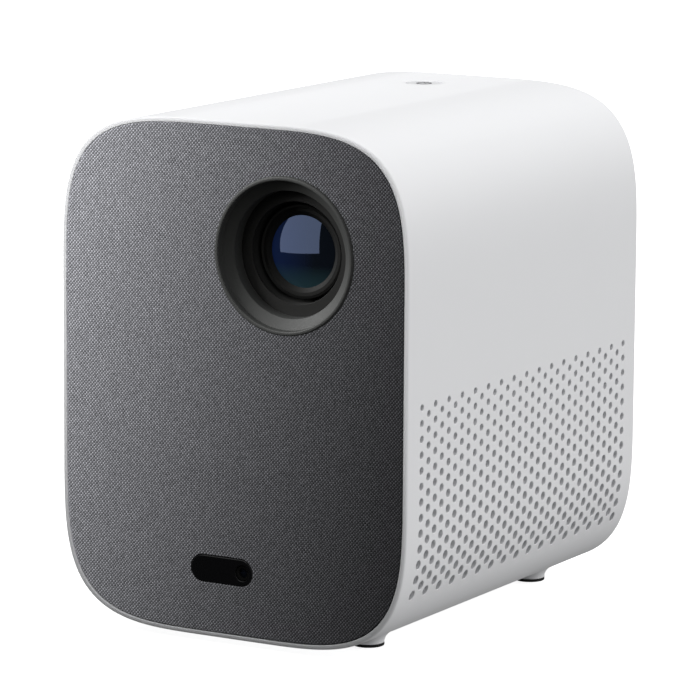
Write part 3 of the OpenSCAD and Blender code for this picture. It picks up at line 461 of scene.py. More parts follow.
def circuit_board(name, color):
    """Solder mask over copper tracks, with rows of tinned pads."""
    f = Finish(name, color, 0.35, Metallic=0.0, IOR=1.5)
    tracks = f.node("ShaderNodeTexBrick", {"Vector": f.scaled(1, 1, 1), "Scale": 90.0, "Mortar Size": 0.018,
                                           "Color1": (0, 0, 0, 1), "Color2": (0, 0, 0, 1),
                                           "Mortar": (1, 1, 1, 1)}).outputs["Fac"]
    pads = f.node("ShaderNodeTexVoronoi", {"Vector": f.coords, "Scale": 260.0,
                                           "Randomness": 0.35}).outputs["Distance"]
    pad_mask = f.span(pads, 0.16, 0.2, 1, 0)
    masked = f.mix(tracks, shade(color, 0.8), shade(color, 1.7))
    f.base(f.mix(pad_mask, masked, (0.62, 0.6, 0.52)))
    f.rough(f.span(pad_mask, 0, 1, 0.38, 0.25))
    f.bump(f.math("ADD", tracks, pad_mask), 0.03 * MM)
    return f.material


def tinted_resin(name, color):
    """Clear cast resin with a cloudy glow inside."""
    roughness = 0.15
    f = Finish(name, color, roughness, IOR=1.52, Coat_Weight=0.4, Coat_Roughness=0.05)
    cloud = f.noise(420, 3.0)
    f.base(f.mix(cloud, shade(color, 0.55), shade(color, 1.35)))
    f.gloss(cloud, roughness * 0.7, roughness * 1.4)
    f.bump(cloud, 0.01 * MM)
    return f.material


def optic(name, color, roughness):
    """Optical glass: a dark, faintly clouded body with a trace of dust."""
    f = Finish(name, color, roughness, IOR=1.5)
    dust = f.noise(1400, 4.0)
    cloud = f.noise(90, 2.0)
    f.base(f.mix(cloud, shade(color, 0.75), shade(color, 1.3)))
    f.rough(f.span(dust, 0.55, 0.8, roughness, roughness + 0.05))
    return f.material


def coated_lens_painted_reflections(x, z, r):
    """Coated front element with a painted reflection of the elements behind it: blue to one side and teal at
    the foot.
    """
    f = Finish("coated_glass_painted_reflections", (0.002, 0.004, 0.01), 0.025, IOR=2.0, Specular_Tint=(0.46, 0.6, 1.0, 1))
    place = f.place()
    # Painted reflection of the inner elements, set by place on the glass: blue towards the left edge and
    # teal low down.
    side = f.span(place["X"], x - r, x + 0.4 * r, 1, 0)
    foot = f.span(place["Z"], z - 0.35 * r, z - 0.9 * r, 0, 1)
    dust = f.noise(1400, 4.0)
    painted_reflection_blue = f.mix(side, (0.012, 0.017, 0.026), (0.02, 0.045, 0.17))
    f.base(f.mix(f.math("MULTIPLY", foot, 0.8), painted_reflection_blue, (0.05, 0.12, 0.14)))
    f.rough(f.span(dust, 0.55, 0.8, 0.02, 0.06))
    return f.material


def woven_cloth():
    """Plain weave: light warp and dark weft yarns show in turn, like a chequerboard, with a painted
    highlight along diagonals of the weave and painted shade, near black, in the gaps and where the yarns
    dive.
    """
    warp_pitch, weft_pitch = 0.52 * MM, 0.548 * MM
    f = Finish("woven_cloth", (0.04, 0.04, 0.042), 0.7, Sheen_Weight=0.01, Sheen_Roughness=0.45,
               Specular_IOR_Level=0.1)
    place = f.place()
    near, far = f.noise(260, 2.0), f.noise(70, 2.0)
    wander = f.math("ADD", f.span(near, 0, 1, -0.2, 0.2), f.span(far, 0, 1, -1.6, 1.6))
    across = f.math("ADD", f.math("DIVIDE", place["X"], warp_pitch), wander)
    along = f.math("ADD", f.math("DIVIDE", place["Z"], weft_pitch), wander)
    column, row = f.math("FLOOR", across), f.math("FLOOR", along)
    du = f.math("SUBTRACT", f.math("FRACT", across), 0.5)
    dv = f.math("SUBTRACT", f.math("FRACT", along), 0.5)
    warp_up = f.math("FLOORED_MODULO", f.math("ADD", column, row), 2.0)
    weft_up = f.math("SUBTRACT", 1.0, warp_up)

    def yarn(cross, length):
        """Height of a yarn that comes up and dives again within one cell."""
        round_part = f.math("COSINE", f.math("MULTIPLY", cross, 2.7))
        arch = f.math("COSINE", f.math("MULTIPLY", length, 2.2))
        return f.math("MULTIPLY", round_part, arch)

    def chosen(warp, weft):
        """The value of whichever yarn is on top here."""
        return f.math("ADD", f.math("MULTIPLY", warp, warp_up), f.math("MULTIPLY", weft, weft_up))

    height = chosen(yarn(du, dv), yarn(dv, du))
    fibre = f.noise(5200, 2.0)
    cell = f.node("ShaderNodeCombineXYZ", {"X": column, "Y": row}).outputs["Vector"]
    own_grey = f.node("ShaderNodeTexWhiteNoise", {"Vector": cell}, noise_dimensions="2D").outputs["Value"]
    tone = f.math("ADD", f.math("MULTIPLY", own_grey, 0.35), f.math("MULTIPLY", f.noise(900, 3.0), 0.65))
    tone = f.span(tone, 0.2, 0.7, 0, 1)
    warp_color = f.mix(tone, (0.034, 0.0345, 0.037), (0.06, 0.0605, 0.065))
    weft_color = f.mix(tone, (0.0055, 0.0055, 0.006), (0.014, 0.014, 0.0152))
    # Painted highlight: slanting bands across the weave are lighter. lit adds this to the lighter warp yarn
    # that is on top.
    painted_diagonal_highlight = f.math("COSINE", f.math("MULTIPLY", f.math("SUBTRACT", across, along), math.pi))
    lit = f.math("ADD", f.math("MULTIPLY", warp_up, 0.6), f.span(painted_diagonal_highlight, 1, -1, 0, 0.4))
    yarn_color = f.mix(lit, weft_color, warp_color)
    yarn_color = f.mix(f.span(fibre, 0.45, 0.7, 0, 0.2), yarn_color, (0.075, 0.075, 0.08))
    # Painted shade: near black where the yarns dive and in the gaps between them.
    f.base(f.mix(f.span(height, 0.1, 0.6, 0, 1), (0.005, 0.005, 0.005), yarn_color))
    f.rough(f.span(height, 0.2, 0.9, 0.85, 0.55))
    f.bump(f.math("ADD", height, f.math("MULTIPLY", fibre, 0.15)), 0.12 * MM)
    return f.material


def woven_mesh():
    """Fine dust mesh: crossing threads, with the openings between them painted dark as the shade behind."""
    pitch = 0.5 * MM
    f = Finish("woven_mesh", (0.3, 0.3, 0.31), 0.7)
    place = f.place()
    lines = []
    for axis in ("Y", "Z"):
        wave = f.math("SINE", f.math("MULTIPLY", place[axis], 2 * math.pi / pitch))
        lines.append(f.math("ABSOLUTE", wave))
    thread = f.math("MINIMUM", *lines)
    grain = f.noise(3000, 2.0)
    # Painted shade: the openings are dark and stand for the shade behind the mesh.
    f.base(f.mix(f.span(thread, 0.25, 0.5, 1, 0), (0.1, 0.1, 0.105), (0.34, 0.34, 0.35)))
    f.gloss(grain, 0.6, 0.8)
    f.bump(f.math("SUBTRACT", 1.0, thread), 0.1 * MM)
    return f.material


def pressed_pulp():
    """Speaker cone: fibrous pulp with faint pressing rings."""
    f = Finish("pressed_pulp", (0.05, 0.05, 0.05), 0.85)
    fibres = f.noise(1.0, 4.0, f.scaled(900, 2600, 2600))
    f.base(f.mix(fibres, (0.03, 0.03, 0.03), (0.09, 0.088, 0.085)))
    f.gloss(fibres, 0.75, 0.95)
    f.bump(fibres, 0.05 * MM)
    return f.material


# ---- finishes

WHITE = (0.83, 0.835, 0.85)
BUTTON_WHITE = moulded("button_white", shade(WHITE, 1.02), 0.36, 3200, 0.004, 0.008)
GLASS_COATED_PAINTED_REFLECTIONS = coated_lens_painted_reflections(LENS_X, LENS_Z, GLASS_R)

# Slot: colour, roughness, grain, depth of the grain in mm, variation of the colour and specular level
MOULDED = {
    "case_white": (WHITE, 0.42, 2200, 0.005, 0.008),
    "inner_black": ((0.018, 0.018, 0.02), 0.6, 1500, 0.02, 0.15),
    "bezel_grey": ((0.046, 0.0475, 0.0455), 0.62, 4200, 0.003, 0.06),
    "lens_black": ((0.021, 0.021, 0.02), 0.55, 3000, 0.004, 0.12, 0.22),
    "window_black": ((0.009, 0.009, 0.01), 0.07, 900, 0.0008, 0.1, 0.35),
    "part_black": ((0.02, 0.02, 0.021), 0.5, 1800, 0.012, 0.1),
    "icon_grey": ((0.2, 0.2, 0.21), 0.5, 3000, 0.006, 0.05),
    "gear_plastic": ((0.68, 0.65, 0.55), 0.4, 1200, 0.01, 0.05),
    "pad_rubber": ((0.01, 0.01, 0.01), 0.8, 1600, 0.03, 0.2),
}
# Slot: colour, roughness and how fine the tool marks are along each axis
MACHINED = {
    "optical_mirror": ((0.6, 0.68, 0.82), 0.08, (400, 400, 400)),
    "screw_steel": ((0.56, 0.56, 0.57), 0.28, (900, 900, 900)),
    "socket_steel": ((0.6, 0.6, 0.61), 0.24, (1500, 70, 1500)),
    "nut_brass": ((0.66, 0.47, 0.2), 0.25, (1800, 1800, 90)),
    "pipe_copper": ((0.72, 0.36, 0.22), 0.3, (1500, 1500, 90)),
    "sink_aluminium": ((0.66, 0.67, 0.69), 0.34, (1800, 90, 1800)),
}
RESIN = {
    "led_red_resin": (0.5, 0.03, 0.02),
    "led_green_resin": (0.03, 0.33, 0.06),
    "led_blue_resin": (0.03, 0.07, 0.5),
}
FINISH = {
    "woven_grey": woven_cloth(),
    "mesh_dark": woven_mesh(),
    "cone_pulp": pressed_pulp(),
    "board_green": circuit_board("board_green", (0.012, 0.11, 0.045)),
    "optical_glass": optic("clear_glass", (0.015, 0.02, 0.035), 0.03),
    "engine_grey": cast_metal("cast_grey", (0.11, 0.11, 0.115), 0.5),
    "frame_steel": cast_metal("frame_steel", (0.03, 0.03, 0.032), 0.42),
}
FINISH.update({slot: moulded(slot, *values) for slot, values in MOULDED.items()})
FINISH.update({slot: machined(slot, *values) for slot, values in MACHINED.items()})
FINISH.update({slot: tinted_resin(slot, color) for slot, color in RESIN.items()})

for entry in frame["record"]["subparts"]:
    node = frame["nodes"][entry["node"]]
    node.data.materials.clear()
    node.data.materials.append(FINISH[entry["material_slot"]])


# ---- case shell

# Points round a hole's hexagonal cell, its corners and those along its sides, in lattice steps
HEX = [(6, 0), (5, 1), (4, 2), (3, 3), (1, 3), (-1, 3), (-3, 3), (-4, 2), (-5, 1),
       (-6, 0), (-5, -1), (-4, -2), (-3, -3), (-1, -3), (1, -3), (3, -3), (4, -2), (5, -1)]
HOLE_CHAMFER = 0.12 * MM
HOLE_SIDES = len(HEX)
EDGE_R = 0.8 * MM
EDGE_CHAMFER = 0.12 * MM
STATION_STEP = 1.6 * MM


def shell_stations():
    """(y, inset) of each loop, round the whole wall: outside, rear rim, inside and front rim."""
    patterned = [HOLES_Y0] + [lattice_y(m) for m in M_LEVELS] + [HOLES_Y1]
    outer = [(FRONT_Y + depth, inset) for inset, depth in rolled(EDGE_R)]
    outer += [(y, 0.0) for y in spread(FRONT_Y + EDGE_R, HOLES_Y0, STATION_STEP)[1:-1]]
    first_outer = len(outer)
    outer += [(y, 0.0) for y in patterned]
    outer += [(y, 0.0) for y in spread(HOLES_Y1, REAR_Y - EDGE_R, STATION_STEP)[1:-1]]
    outer += [(REAR_Y - depth, inset) for inset, depth in reversed(rolled(EDGE_R))]
    rear = [(REAR_Y, RIM - EDGE_CHAMFER), (REAR_Y - EDGE_CHAMFER, RIM), (COVER_IN_Y, RIM)]
    inner = [(COVER_IN_Y, WALL)]
    first_inner = len(outer) + len(rear) + len(inner)
    inner += [(y, WALL) for y in reversed(patterned)] + [(REBATE_Y, WALL)]
    front = [(REBATE_Y, RIM), (FRONT_Y + EDGE_CHAMFER, RIM), (FRONT_Y, RIM - EDGE_CHAMFER)]
    last_inner = first_inner + len(patterned) - 1
    return outer + rear + inner + front, first_outer, last_inner


def flare_z(x, r):
    """Height of the underside at radius r from a foot's axis: it curves down into the foot."""
    c = min(1.0, max(0.0, (FOOT_R + FOOT_FILLET - r) / FOOT_FILLET))
    level, foot_top = MID_Z - half_height(x), FOOT_BASE_Z + 0.3 * MM
    return foot_top + (level - foot_top) * math.sqrt(1 - c * c)


def build_shell():
    """The case: a grid round its wall, cut out for the holes, the button, the tripod nut and the feet."""
    b = Builder()
    stations, first_outer, last_inner = shell_stations()
    count = len(stations)
    grid = [b.ring(case_loop(inset, y)) for y, inset in stations]
    removed = set()

    def y_index(skin, level):
        """Station number of a y level of the pattern, on the outer (0) or inner (1) skin."""
        return first_outer + level if skin == 0 else last_inner - level

    def z_index(side, level):
        """Number in the loop of a height level, on the right (1) or left (-1) side."""
        return level if side > 0 else 2 * SIDE_COUNT + TOP_COUNT - 1 - level

    def cut(ks, cells):
        """Leaves grid cells out: ks are stations and cells are places in the loop."""
        removed.update((k, i) for k in ks for i in cells)

    last_level = len(M_LEVELS) + 1
    for side in (1, -1):
        ends = sorted((z_index(side, Z_FIRST), z_index(side, Z_LAST)))
        for skin in (0, 1):
            ks = sorted((y_index(skin, 0), y_index(skin, last_level)))
            cut(range(*ks), range(*ends))

    def lattice(side, skin):
        """Fills one side of one skin with holes and returns each hole's rim."""
        inset = WALL * skin
        known = {}

        def corner(m, n):
            if (m, n) not in known:
                z = lattice_z(n)
                known[m, n] = b.ring([(side * side_x(z, inset), lattice_y(m), z)])[0]
            return known[m, n]

        rims = {}
        for i in range(HOLE_COLUMNS):
            for j in range(i % 2, HOLE_ROWS, 2):
                cell = [corner(9 * i + dm, -3 * j + dn) for dm, dn in HEX]
                r = HOLE_R_TOP + (HOLE_R_LOW - HOLE_R_TOP) * j / (HOLE_ROWS - 1)
                yc, zc = lattice_y(9 * i), lattice_z(-3 * j)

                def rim(radius, sink):
                    points = []
                    for k in range(HOLE_SIDES):
                        a = 2 * math.pi * k / HOLE_SIDES
                        z = zc + radius * math.sin(a)
                        points.append((side * (side_x(z, inset) - sink), yc + radius * math.cos(a), z))
                    return b.ring(points)

                if skin == 0:
                    wide, edge = rim(r + HOLE_CHAMFER, 0.0), rim(r, HOLE_CHAMFER)
                    b.bridge(cell, wide)
                    b.bridge(wide, edge)
                else:
                    edge = rim(r, 0.0)
                    b.bridge(cell, edge)
                rims[i, j] = edge

        def border(m, n):
            """A grid point on the edge of the cut-out, m or n beyond the lattice."""
            level_y = 0 if m is None else last_level if m == "end" else M_LEVELS.index(m) + 1
            level_z = Z_FIRST if n is None else Z_LAST if n == "end" else Z_FIRST + 1 + N_LEVELS.index(n)
            return grid[y_index(skin, level_y)][z_index(side, level_z)]

        def edge_n(c, top):
            """Lattice height at which column c ends, above or below."""
            step = 3 if c % 2 == 0 else 0
            return step if top else -3 * (HOLE_ROWS - 1) - step

        for top in (True, False):
            far = "end" if top else None
            for c in range(HOLE_COLUMNS):
                runs = [[(9 * c - 3 + 2 * k, edge_n(c, top)) for k in range(4)]]
                if c < HOLE_COLUMNS - 1:
                    n0, n1 = edge_n(c, top), edge_n(c + 1, top)
                    runs.append([(9 * c + 3 + k, n0 + (n1 - n0) * k // 3) for k in range(4)])
                for fine in runs:
                    corners = [corner(*p) for p in reversed(fine)]
                    b.faces.append((border(fine[0][0], far), border(fine[-1][0], far), *corners))
        last_m = 9 * (HOLE_COLUMNS - 1)
        for front in (True, False):
            far = None if front else "end"
            for n in N_LEVELS[:-1]:
                if n % 6 == 0:
                    fine = [(6 - k, n + k) for k in range(4)]
                else:
                    fine = [(3 + k, n + k) for k in range(4)]
                fine = [(-d, q) if front else (last_m + d, q) for d, q in fine]
                corners = [corner(*p) for p in reversed(fine)]
                b.faces.append((border(far, n), border(far, n + 3), *corners))
            m_edge = -3 if front else last_m + 3
            for n, z_far in ((3, "end"), (N_LEVELS[0], None)):
                b.faces.append((border(far, n), border(far, z_far), border(m_edge, z_far),
                                corner(m_edge, n)))
        return rims

    for side in (1, -1):
        outer_rims, inner_rims = lattice(side, 0), lattice(side, 1)
        for key, ring in outer_rims.items():
            b.bridge(ring, inner_rims[key])

    def window(skin, centre, half, top):
        """Cuts a rectangle of grid cells round a centre and returns its border of points."""
        cx, cy = centre
        base = SIDE_COUNT if top else 2 * SIDE_COUNT + TOP_COUNT
        k0 = max(k for k in range(last_level + 1) if stations[y_index(skin, k)][0] <= cy - half)
        k1 = min(k for k in range(last_level + 1) if stations[y_index(skin, k)][0] >= cy + half)
        row = grid[y_index(skin, k0)]
        xs = [b.points[row[base + t]][0] for t in range(TOP_COUNT)]
        inside = [t for t in range(TOP_COUNT) if abs(xs[t] - cx) <= half]
        i0, i1 = base + min(inside) - 1, base + max(inside) + 1
        ka, kb = sorted((y_index(skin, k0), y_index(skin, k1)))
        cut(range(ka, kb), range(i0, i1))
        return ([grid[ka][i] for i in range(i0, i1)] + [grid[k][i1] for k in range(ka, kb)]
                + [grid[kb][i] for i in range(i1, i0, -1)] + [grid[k][i0] for k in range(kb, ka, -1)])

    def bearings(ring, centre):
        """Bearing of each point of a ring from a centre."""
        return [math.atan2(b.points[i][1] - centre[1], b.points[i][0] - centre[0]) for i in ring]

    def rings_round(border, centre, shapes):
        """Rings of the border's count about a centre; each shape gives (radius, height function)."""
        cx, cy = centre
        angles = bearings(border, centre)
        previous = border
        for radius, height in shapes:
            ring = []
            for a in angles:
                x, y = cx + radius * math.cos(a), cy + radius * math.sin(a)
                ring.append((x, y, height(x, radius)))
            made = b.ring(ring)
            b.bridge(previous, made)
            previous = made
        return previous

    def through_hole(centre, r, half, top):
        """A round hole through the top or floor, with a softened outer edge, in a window of the grid."""
        sign = 1 if top else -1
        soft, softer = 0.25 * MM, 0.07 * MM
        ends = []
        for skin in (0, 1):
            def level(x, _r, drop=0.0, inset=WALL * skin):
                return MID_Z + sign * (half_height(x, inset) - drop)

            shapes = [(r * 1.25, level)]
            if skin == 0:
                shapes += [(r + soft, level), (r + softer, lambda x, _r: level(x, _r, softer, 0.0)),
                           (r, lambda x, _r: level(x, _r, soft, 0.0))]
            else:
                shapes += [(r, level)]
            ring = rings_round(window(skin, centre, half, top), centre, shapes)
            ends.append((ring, bearings(ring, centre)))
        (outer_ring, outer_a), (inner_ring, inner_a) = ends
        n = len(inner_ring)
        # The inner ring starts at the same bearing as the outer one and runs the same way round
        start = min(range(n), key=lambda k: abs(math.remainder(inner_a[k] - outer_a[0], 2 * math.pi)))
        step = math.remainder(inner_a[(start + 1) % n] - inner_a[start], 2 * math.pi)
        want = math.remainder(outer_a[1] - outer_a[0], 2 * math.pi)
        way = 1 if step * want > 0 else -1
        b.bridge(outer_ring, [inner_ring[(start + way * k) % n] for k in range(n)])

    # Half-widths of the windows in the grid that the button, the tripod nut and a foot need
    button_half, nut_half, foot_half = 8.6 * MM, 8.0 * MM, 9.6 * MM
    through_hole((BUTTON_X, BUTTON_Y), BUTTON_R + BUTTON_GAP, button_half, True)
    through_hole((0.0, 0.0), NUT_R + FIT_GAP, nut_half, False)

    chamfer = 0.12 * MM
    flare_angles = (112, 100, 90, 80, 70, 60, 50, 40, 31, 23, 15, 8, 0)
    for centre in FOOT_PLACES:
        shapes = [(FOOT_R + FOOT_FILLET * (1 - math.cos(math.radians(a))), flare_z) for a in flare_angles]
        for r, height in ((FOOT_R, FOOT_BASE_Z + chamfer), (FOOT_R - chamfer, FOOT_BASE_Z),
                          (FOOT_RECESS_R, FOOT_BASE_Z), (FOOT_RECESS_R, FOOT_RECESS_Z)):
            shapes.append((r, lambda _x, _r, z=height: z))
        b.faces.append(tuple(rings_round(window(0, centre, foot_half, False), centre, shapes)))

    for k in range(count):
        a, c = grid[k], grid[(k + 1) % count]
        for i in range(LOOP_COUNT):
            if (k, i) not in removed:
                j = (i + 1) % LOOP_COUNT
                b.faces.append((a[i], a[j], c[j], c[i]))
    b.finish("case_shell", body="case", replaces=("outer_shell",), slot="case_white", sharp_deg=30)


# ---- front

WINDOW_FLANGE = 1.5 * MM
PILL_X, PILL_Z = middle("sensor_window")
PILL_W = window_high.x - window_low.x - 2 * WINDOW_FLANGE
PILL_H = window_high.z - window_low.z - 2 * WINDOW_FLANGE


def pill_outline(grow, y, per_corner=14):
    """Outline of the sensor window, grown all round."""
    return rounded_slot(PILL_X, PILL_Z, PILL_W + 2 * grow, PILL_H + 2 * grow, PILL_H / 2 + grow, y,
                        per_corner)


def build_fabric():
    """The woven front, rolled over the edge of its panel and round the bezel and window openings."""
    edge = RIM + PANEL_GAP
    slack = 0.2 * MM
    outer = [case_loop(edge + inset, FABRIC_Y + depth) for inset, depth in rolled(0.4 * MM)]
    outer.append(case_loop(edge, FABRIC_BACK_Y))

    def opening(outline):
        rings = [outline(inset, FABRIC_Y + depth) for inset, depth in rolled(0.25 * MM, 3)]
        return rings + [outline(0.0, FABRIC_BACK_Y)]

    lens = opening(lambda grow, y: circle(LENS_X, LENS_Z, SPIGOT_R + slack + grow, y, 96))
    pill = opening(lambda grow, y: pill_outline(slack / 2 + grow, y, 12))
    cloth = plate("woven_front", outer, [lens, pill], body="case", replaces=("front_fabric",),
                  slot="woven_grey")


def build_window():
    """Gloss-black sensor window with soft edges and a hole for the camera's nose."""
    face_y = window_low.y
    outer = [pill_outline(-inset, face_y + depth) for inset, depth in rolled(0.35 * MM)]
    outer += [pill_outline(0.0, REBATE_Y), pill_outline(WINDOW_FLANGE, REBATE_Y),
              pill_outline(WINDOW_FLANGE, window_high.y)]
    camera_x, camera_r = middle("camera_module")[0], 2.3 * MM
    hole = [circle(camera_x, PILL_Z, camera_r + inset, face_y + depth, 48)
            for inset, depth in rolled(0.2 * MM, 4)]
    hole.append(circle(camera_x, PILL_Z, camera_r, window_high.y, 48))
    plate("sensor_pill", outer, [hole], body="case", replaces=("sensor_window",), slot="window_black")


def turned(name, profile, body, replaces, slot, sharp_deg=28.0, material=None):
    """A piece turned about the lens axis from a closed (radius, y) outline."""
    b = Builder()
    lathe(b, profile, LENS_X, LENS_Z, 180)
    b.finish(name, body=body, replaces=replaces, slot=slot, sharp_deg=sharp_deg, material=material)


def build_lens():
    """Bezel, ribbed baffle, focus barrel, retaining ring and front lens, all turned."""
    small = 0.12 * MM
    soft = 0.55 * MM
    rim_y = bezel_low.y
    bezel = [(SPIGOT_R, FABRIC_Y), (BEZEL_R, FABRIC_Y)]
    bezel += arc(BEZEL_R - soft, rim_y + soft, soft, 0, -90, 8)
    bezel += arc(LIP_R + 0.45 * MM, rim_y + 0.5 * MM, 0.5 * MM, -90, -165, 6)
    bezel += [(LIP_R, LIP_Y - small), (LIP_R - small, LIP_Y + small), (CONE_R + small, CONE_Y - small),
              (CONE_R, CONE_Y + small), (CONE_R, STEP_Y), (SPIGOT_R, STEP_Y)]
    turned("bezel_ring", bezel, "case", ("lens_bezel",), "bezel_grey")

    tube_r = WELL_R + 1 * MM
    flange_y = STEP_Y + 1.5 * MM
    baffle = [(WELL_R + small, STEP_Y), (SPIGOT_R, STEP_Y), (SPIGOT_R, flange_y), (tube_r, flange_y),
              (tube_r, baffle_high.y), (WELL_R, baffle_high.y)]
    rib_pitch, rib_depth, rib_rise = 0.55 * MM, 0.22 * MM, 0.27 * MM
    for y in reversed(spread(STEP_Y + 0.6 * MM, baffle_high.y - 0.4 * MM, rib_pitch)[:-1]):
        baffle += [(WELL_R + rib_depth, y + rib_rise), (WELL_R, y)]
    baffle.append((WELL_R, STEP_Y + small))
    turned("stray_light_baffle", baffle, "case", ("lens_baffle",), "lens_black", sharp_deg=20)

    barrel_r = (barrel_high.x - barrel_low.x) / 2
    seat_r = barrel_r - 0.8 * MM
    front, back = barrel_low.y, barrel_high.y
    glass_back = glass_high.y
    rear_seat_r, rear_bore_r = 12 * MM, 11 * MM
    rear_seat_y = back - 4 * MM
    tube = [(seat_r, front + small), (seat_r + small, front), (barrel_r - small, front),
            (barrel_r, front + small), (barrel_r, back), (rear_seat_r, back), (rear_seat_r, rear_seat_y),
            (rear_bore_r, rear_seat_y), (rear_bore_r, glass_back), (seat_r, glass_back)]
    turned("lens_tube", tube, "lens_group", ("focus_barrel",), "lens_black")

    edge_r = seat_r - FIT_GAP
    seat = retainer_high.y
    ring_front = retainer_low.y
    mouth_r = GLASS_R + 1.2 * MM
    cone = [(mouth_r, ring_front + small), (mouth_r + small, ring_front), (edge_r, ring_front),
            (edge_r, seat), (GLASS_R + 0.3 * MM, seat), (GLASS_R, seat - 0.5 * MM),
            (GLASS_R, seat - 0.75 * MM), (GLASS_R + 0.1 * MM, seat - 0.82 * MM)]
    turned("retaining_cone", cone, "lens_group", ("lens_retainer",), "lens_black")

    element = []
    for t in spread(0, 1, 0.05):
        r = GLASS_R * math.sin(t) / math.sin(1)
        element.append((r, glass_low.y + GLASS_CURVE_R - math.sqrt(GLASS_CURVE_R ** 2 - r * r)))
    element += [(GLASS_R, seat), (edge_r, seat), (edge_r, glass_back), (0.0, glass_back)]
    turned("front_glass", element, "lens_group", ("front_lens",), "optical_glass", sharp_deg=40,
           material=GLASS_COATED_PAINTED_REFLECTIONS)


# ---- rear

SCREW_HEAD_R = 2.4 * MM
SCREW_SEAT_Y = COVER_OUT_Y - 1.4 * MM


def build_rear():
    """Rear cover with soft-edged exhaust slots, sockets and screw seats."""
    edge = RIM + PANEL_GAP
    outer = [case_loop(edge + inset, COVER_OUT_Y - depth) for inset, depth in rolled(0.5 * MM)]
    outer.append(case_loop(edge, COVER_IN_Y))

    def opening(outline, soft=0.3 * MM):
        rings = [outline(inset, COVER_OUT_Y - depth) for inset, depth in rolled(soft, 3)]
        return rings + [outline(0.0, COVER_IN_Y)]

    def slot_hole(x, z, w, h, r, per_corner):
        return opening(lambda grow, y: rounded_slot(x, z, w + 2 * grow, h + 2 * grow, r + grow, y,
                                                    per_corner))

    fan_slots, fan_reach = 13, 30 * MM
    upper_slots, upper_z, upper_w = 5, 112 * MM, 44 * MM
    slot_step, slot_h = 4.4 * MM, 2.4 * MM
    fan_z = middle("fan_frame")[1]
    holes = []
    for k in range(fan_slots):
        dz = (k - (fan_slots - 1) / 2) * slot_step
        width = 2 * math.sqrt(fan_reach ** 2 - dz ** 2)
        holes.append(slot_hole(0, fan_z + dz, width, slot_h, slot_h / 2, 6))
    for k in range(upper_slots):
        holes.append(slot_hole(0, upper_z + k * slot_step, upper_w, slot_h, slot_h / 2, 6))

    for node, w, h, r in (("hdmi_socket", 16.2, 6.8, 1.0), ("usb_socket", 14.4, 7.6, 0.6),
                          ("dc_socket", 10, 11.8, 1.0)):
        holes.append(slot_hole(*middle(node), w * MM, h * MM, r * MM, 5))
    audio_x, audio_r, audio_up = middle("audio_socket")[0], 3.4 * MM, 3.5 * MM
    audio_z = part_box("audio_socket")[0].z + audio_up
    holes.append(opening(lambda grow, y: circle(audio_x, audio_z, audio_r + grow, y, 48)))

    screw_low, screw_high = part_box("rear_screws")
    places = [(side * (screw_high.x - SCREW_HEAD_R), z) for side in (-1, 1)
              for z in (screw_low.z + SCREW_HEAD_R, screw_high.z - SCREW_HEAD_R)]
    wide, narrow = SCREW_HEAD_R + 0.3 * MM, 1.4 * MM
    for x, z in places:
        rings = [circle(x, z, wide + inset, COVER_OUT_Y - depth) for inset, depth in rolled(0.25 * MM, 3)]
        rings += [circle(x, z, wide, SCREW_SEAT_Y), circle(x, z, narrow, SCREW_SEAT_Y),
                  circle(x, z, narrow, COVER_IN_Y)]
        holes.append(rings)
    plate("back_cover", outer, holes, body="case", replaces=("rear_cover",), slot="case_white")
    build_screws(places)


def cross_depth(x, z):
    """Depth of a screw's cross recess at a place on its head: steep sides and a pointed floor."""
    arm_half, side_run = 0.42 * MM, 0.12 * MM
    arm_end, end_run = 1.5 * MM, 0.25 * MM
    reach = math.hypot(x, z)
    wall = min(1.0, max(0.0, (arm_half - min(abs(x), abs(z))) / side_run))
    end = min(1.0, max(0.0, (arm_end - reach) / end_run))
    return wall * end * (0.95 * MM - 0.35 * reach)


def build_screws(places):
    """Pan-head screws with a cross recess, shank included."""
    b = Builder()
    head_t, head_dome = 1.6 * MM, 0.28 * MM
    shank_r, shank_y = 1.25 * MM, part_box("rear_screws")[0].y
    tip_r, tip_l, chamfer = 0.3 * MM, 1 * MM, 0.1 * MM
    segments, top_rings = 64, 14
    side = [(SCREW_HEAD_R, SCREW_SEAT_Y + head_t * 0.62), (SCREW_HEAD_R, SCREW_SEAT_Y + chamfer),
            (SCREW_HEAD_R - chamfer, SCREW_SEAT_Y), (shank_r, SCREW_SEAT_Y), (shank_r, shank_y + tip_l),
            (tip_r, shank_y)]
    for cx, cz in places:
        centre = b.ring([(cx, SCREW_SEAT_Y + head_t - cross_depth(0, 0), cz)])[0]
        top = []
        for k in range(1, top_rings + 1):
            r = SCREW_HEAD_R * 0.86 * k / top_rings
            y_dome = SCREW_SEAT_Y + head_t - head_dome * (r / SCREW_HEAD_R) ** 2
            flat = circle(0, 0, r, 0, segments)
            top.append(b.ring([(cx + x, y_dome - cross_depth(x, z), cz + z) for x, _, z in flat]))
        for a, c in zip(top, top[1:]):
            b.bridge(a, c)
        b.faces.extend((centre, top[0][i], top[0][(i + 1) % segments]) for i in range(segments))
        previous = top[-1]
        for r, y in side:
            ring = b.ring(circle(cx, cz, r, y, segments))
            b.bridge(previous, ring)
            previous = ring
        b.faces.append(tuple(previous))
    b.finish("cover_screws", body="case", replaces=("rear_screws",), slot="screw_steel", sharp_deg=35)


# ---- top control, feet and tripod nut

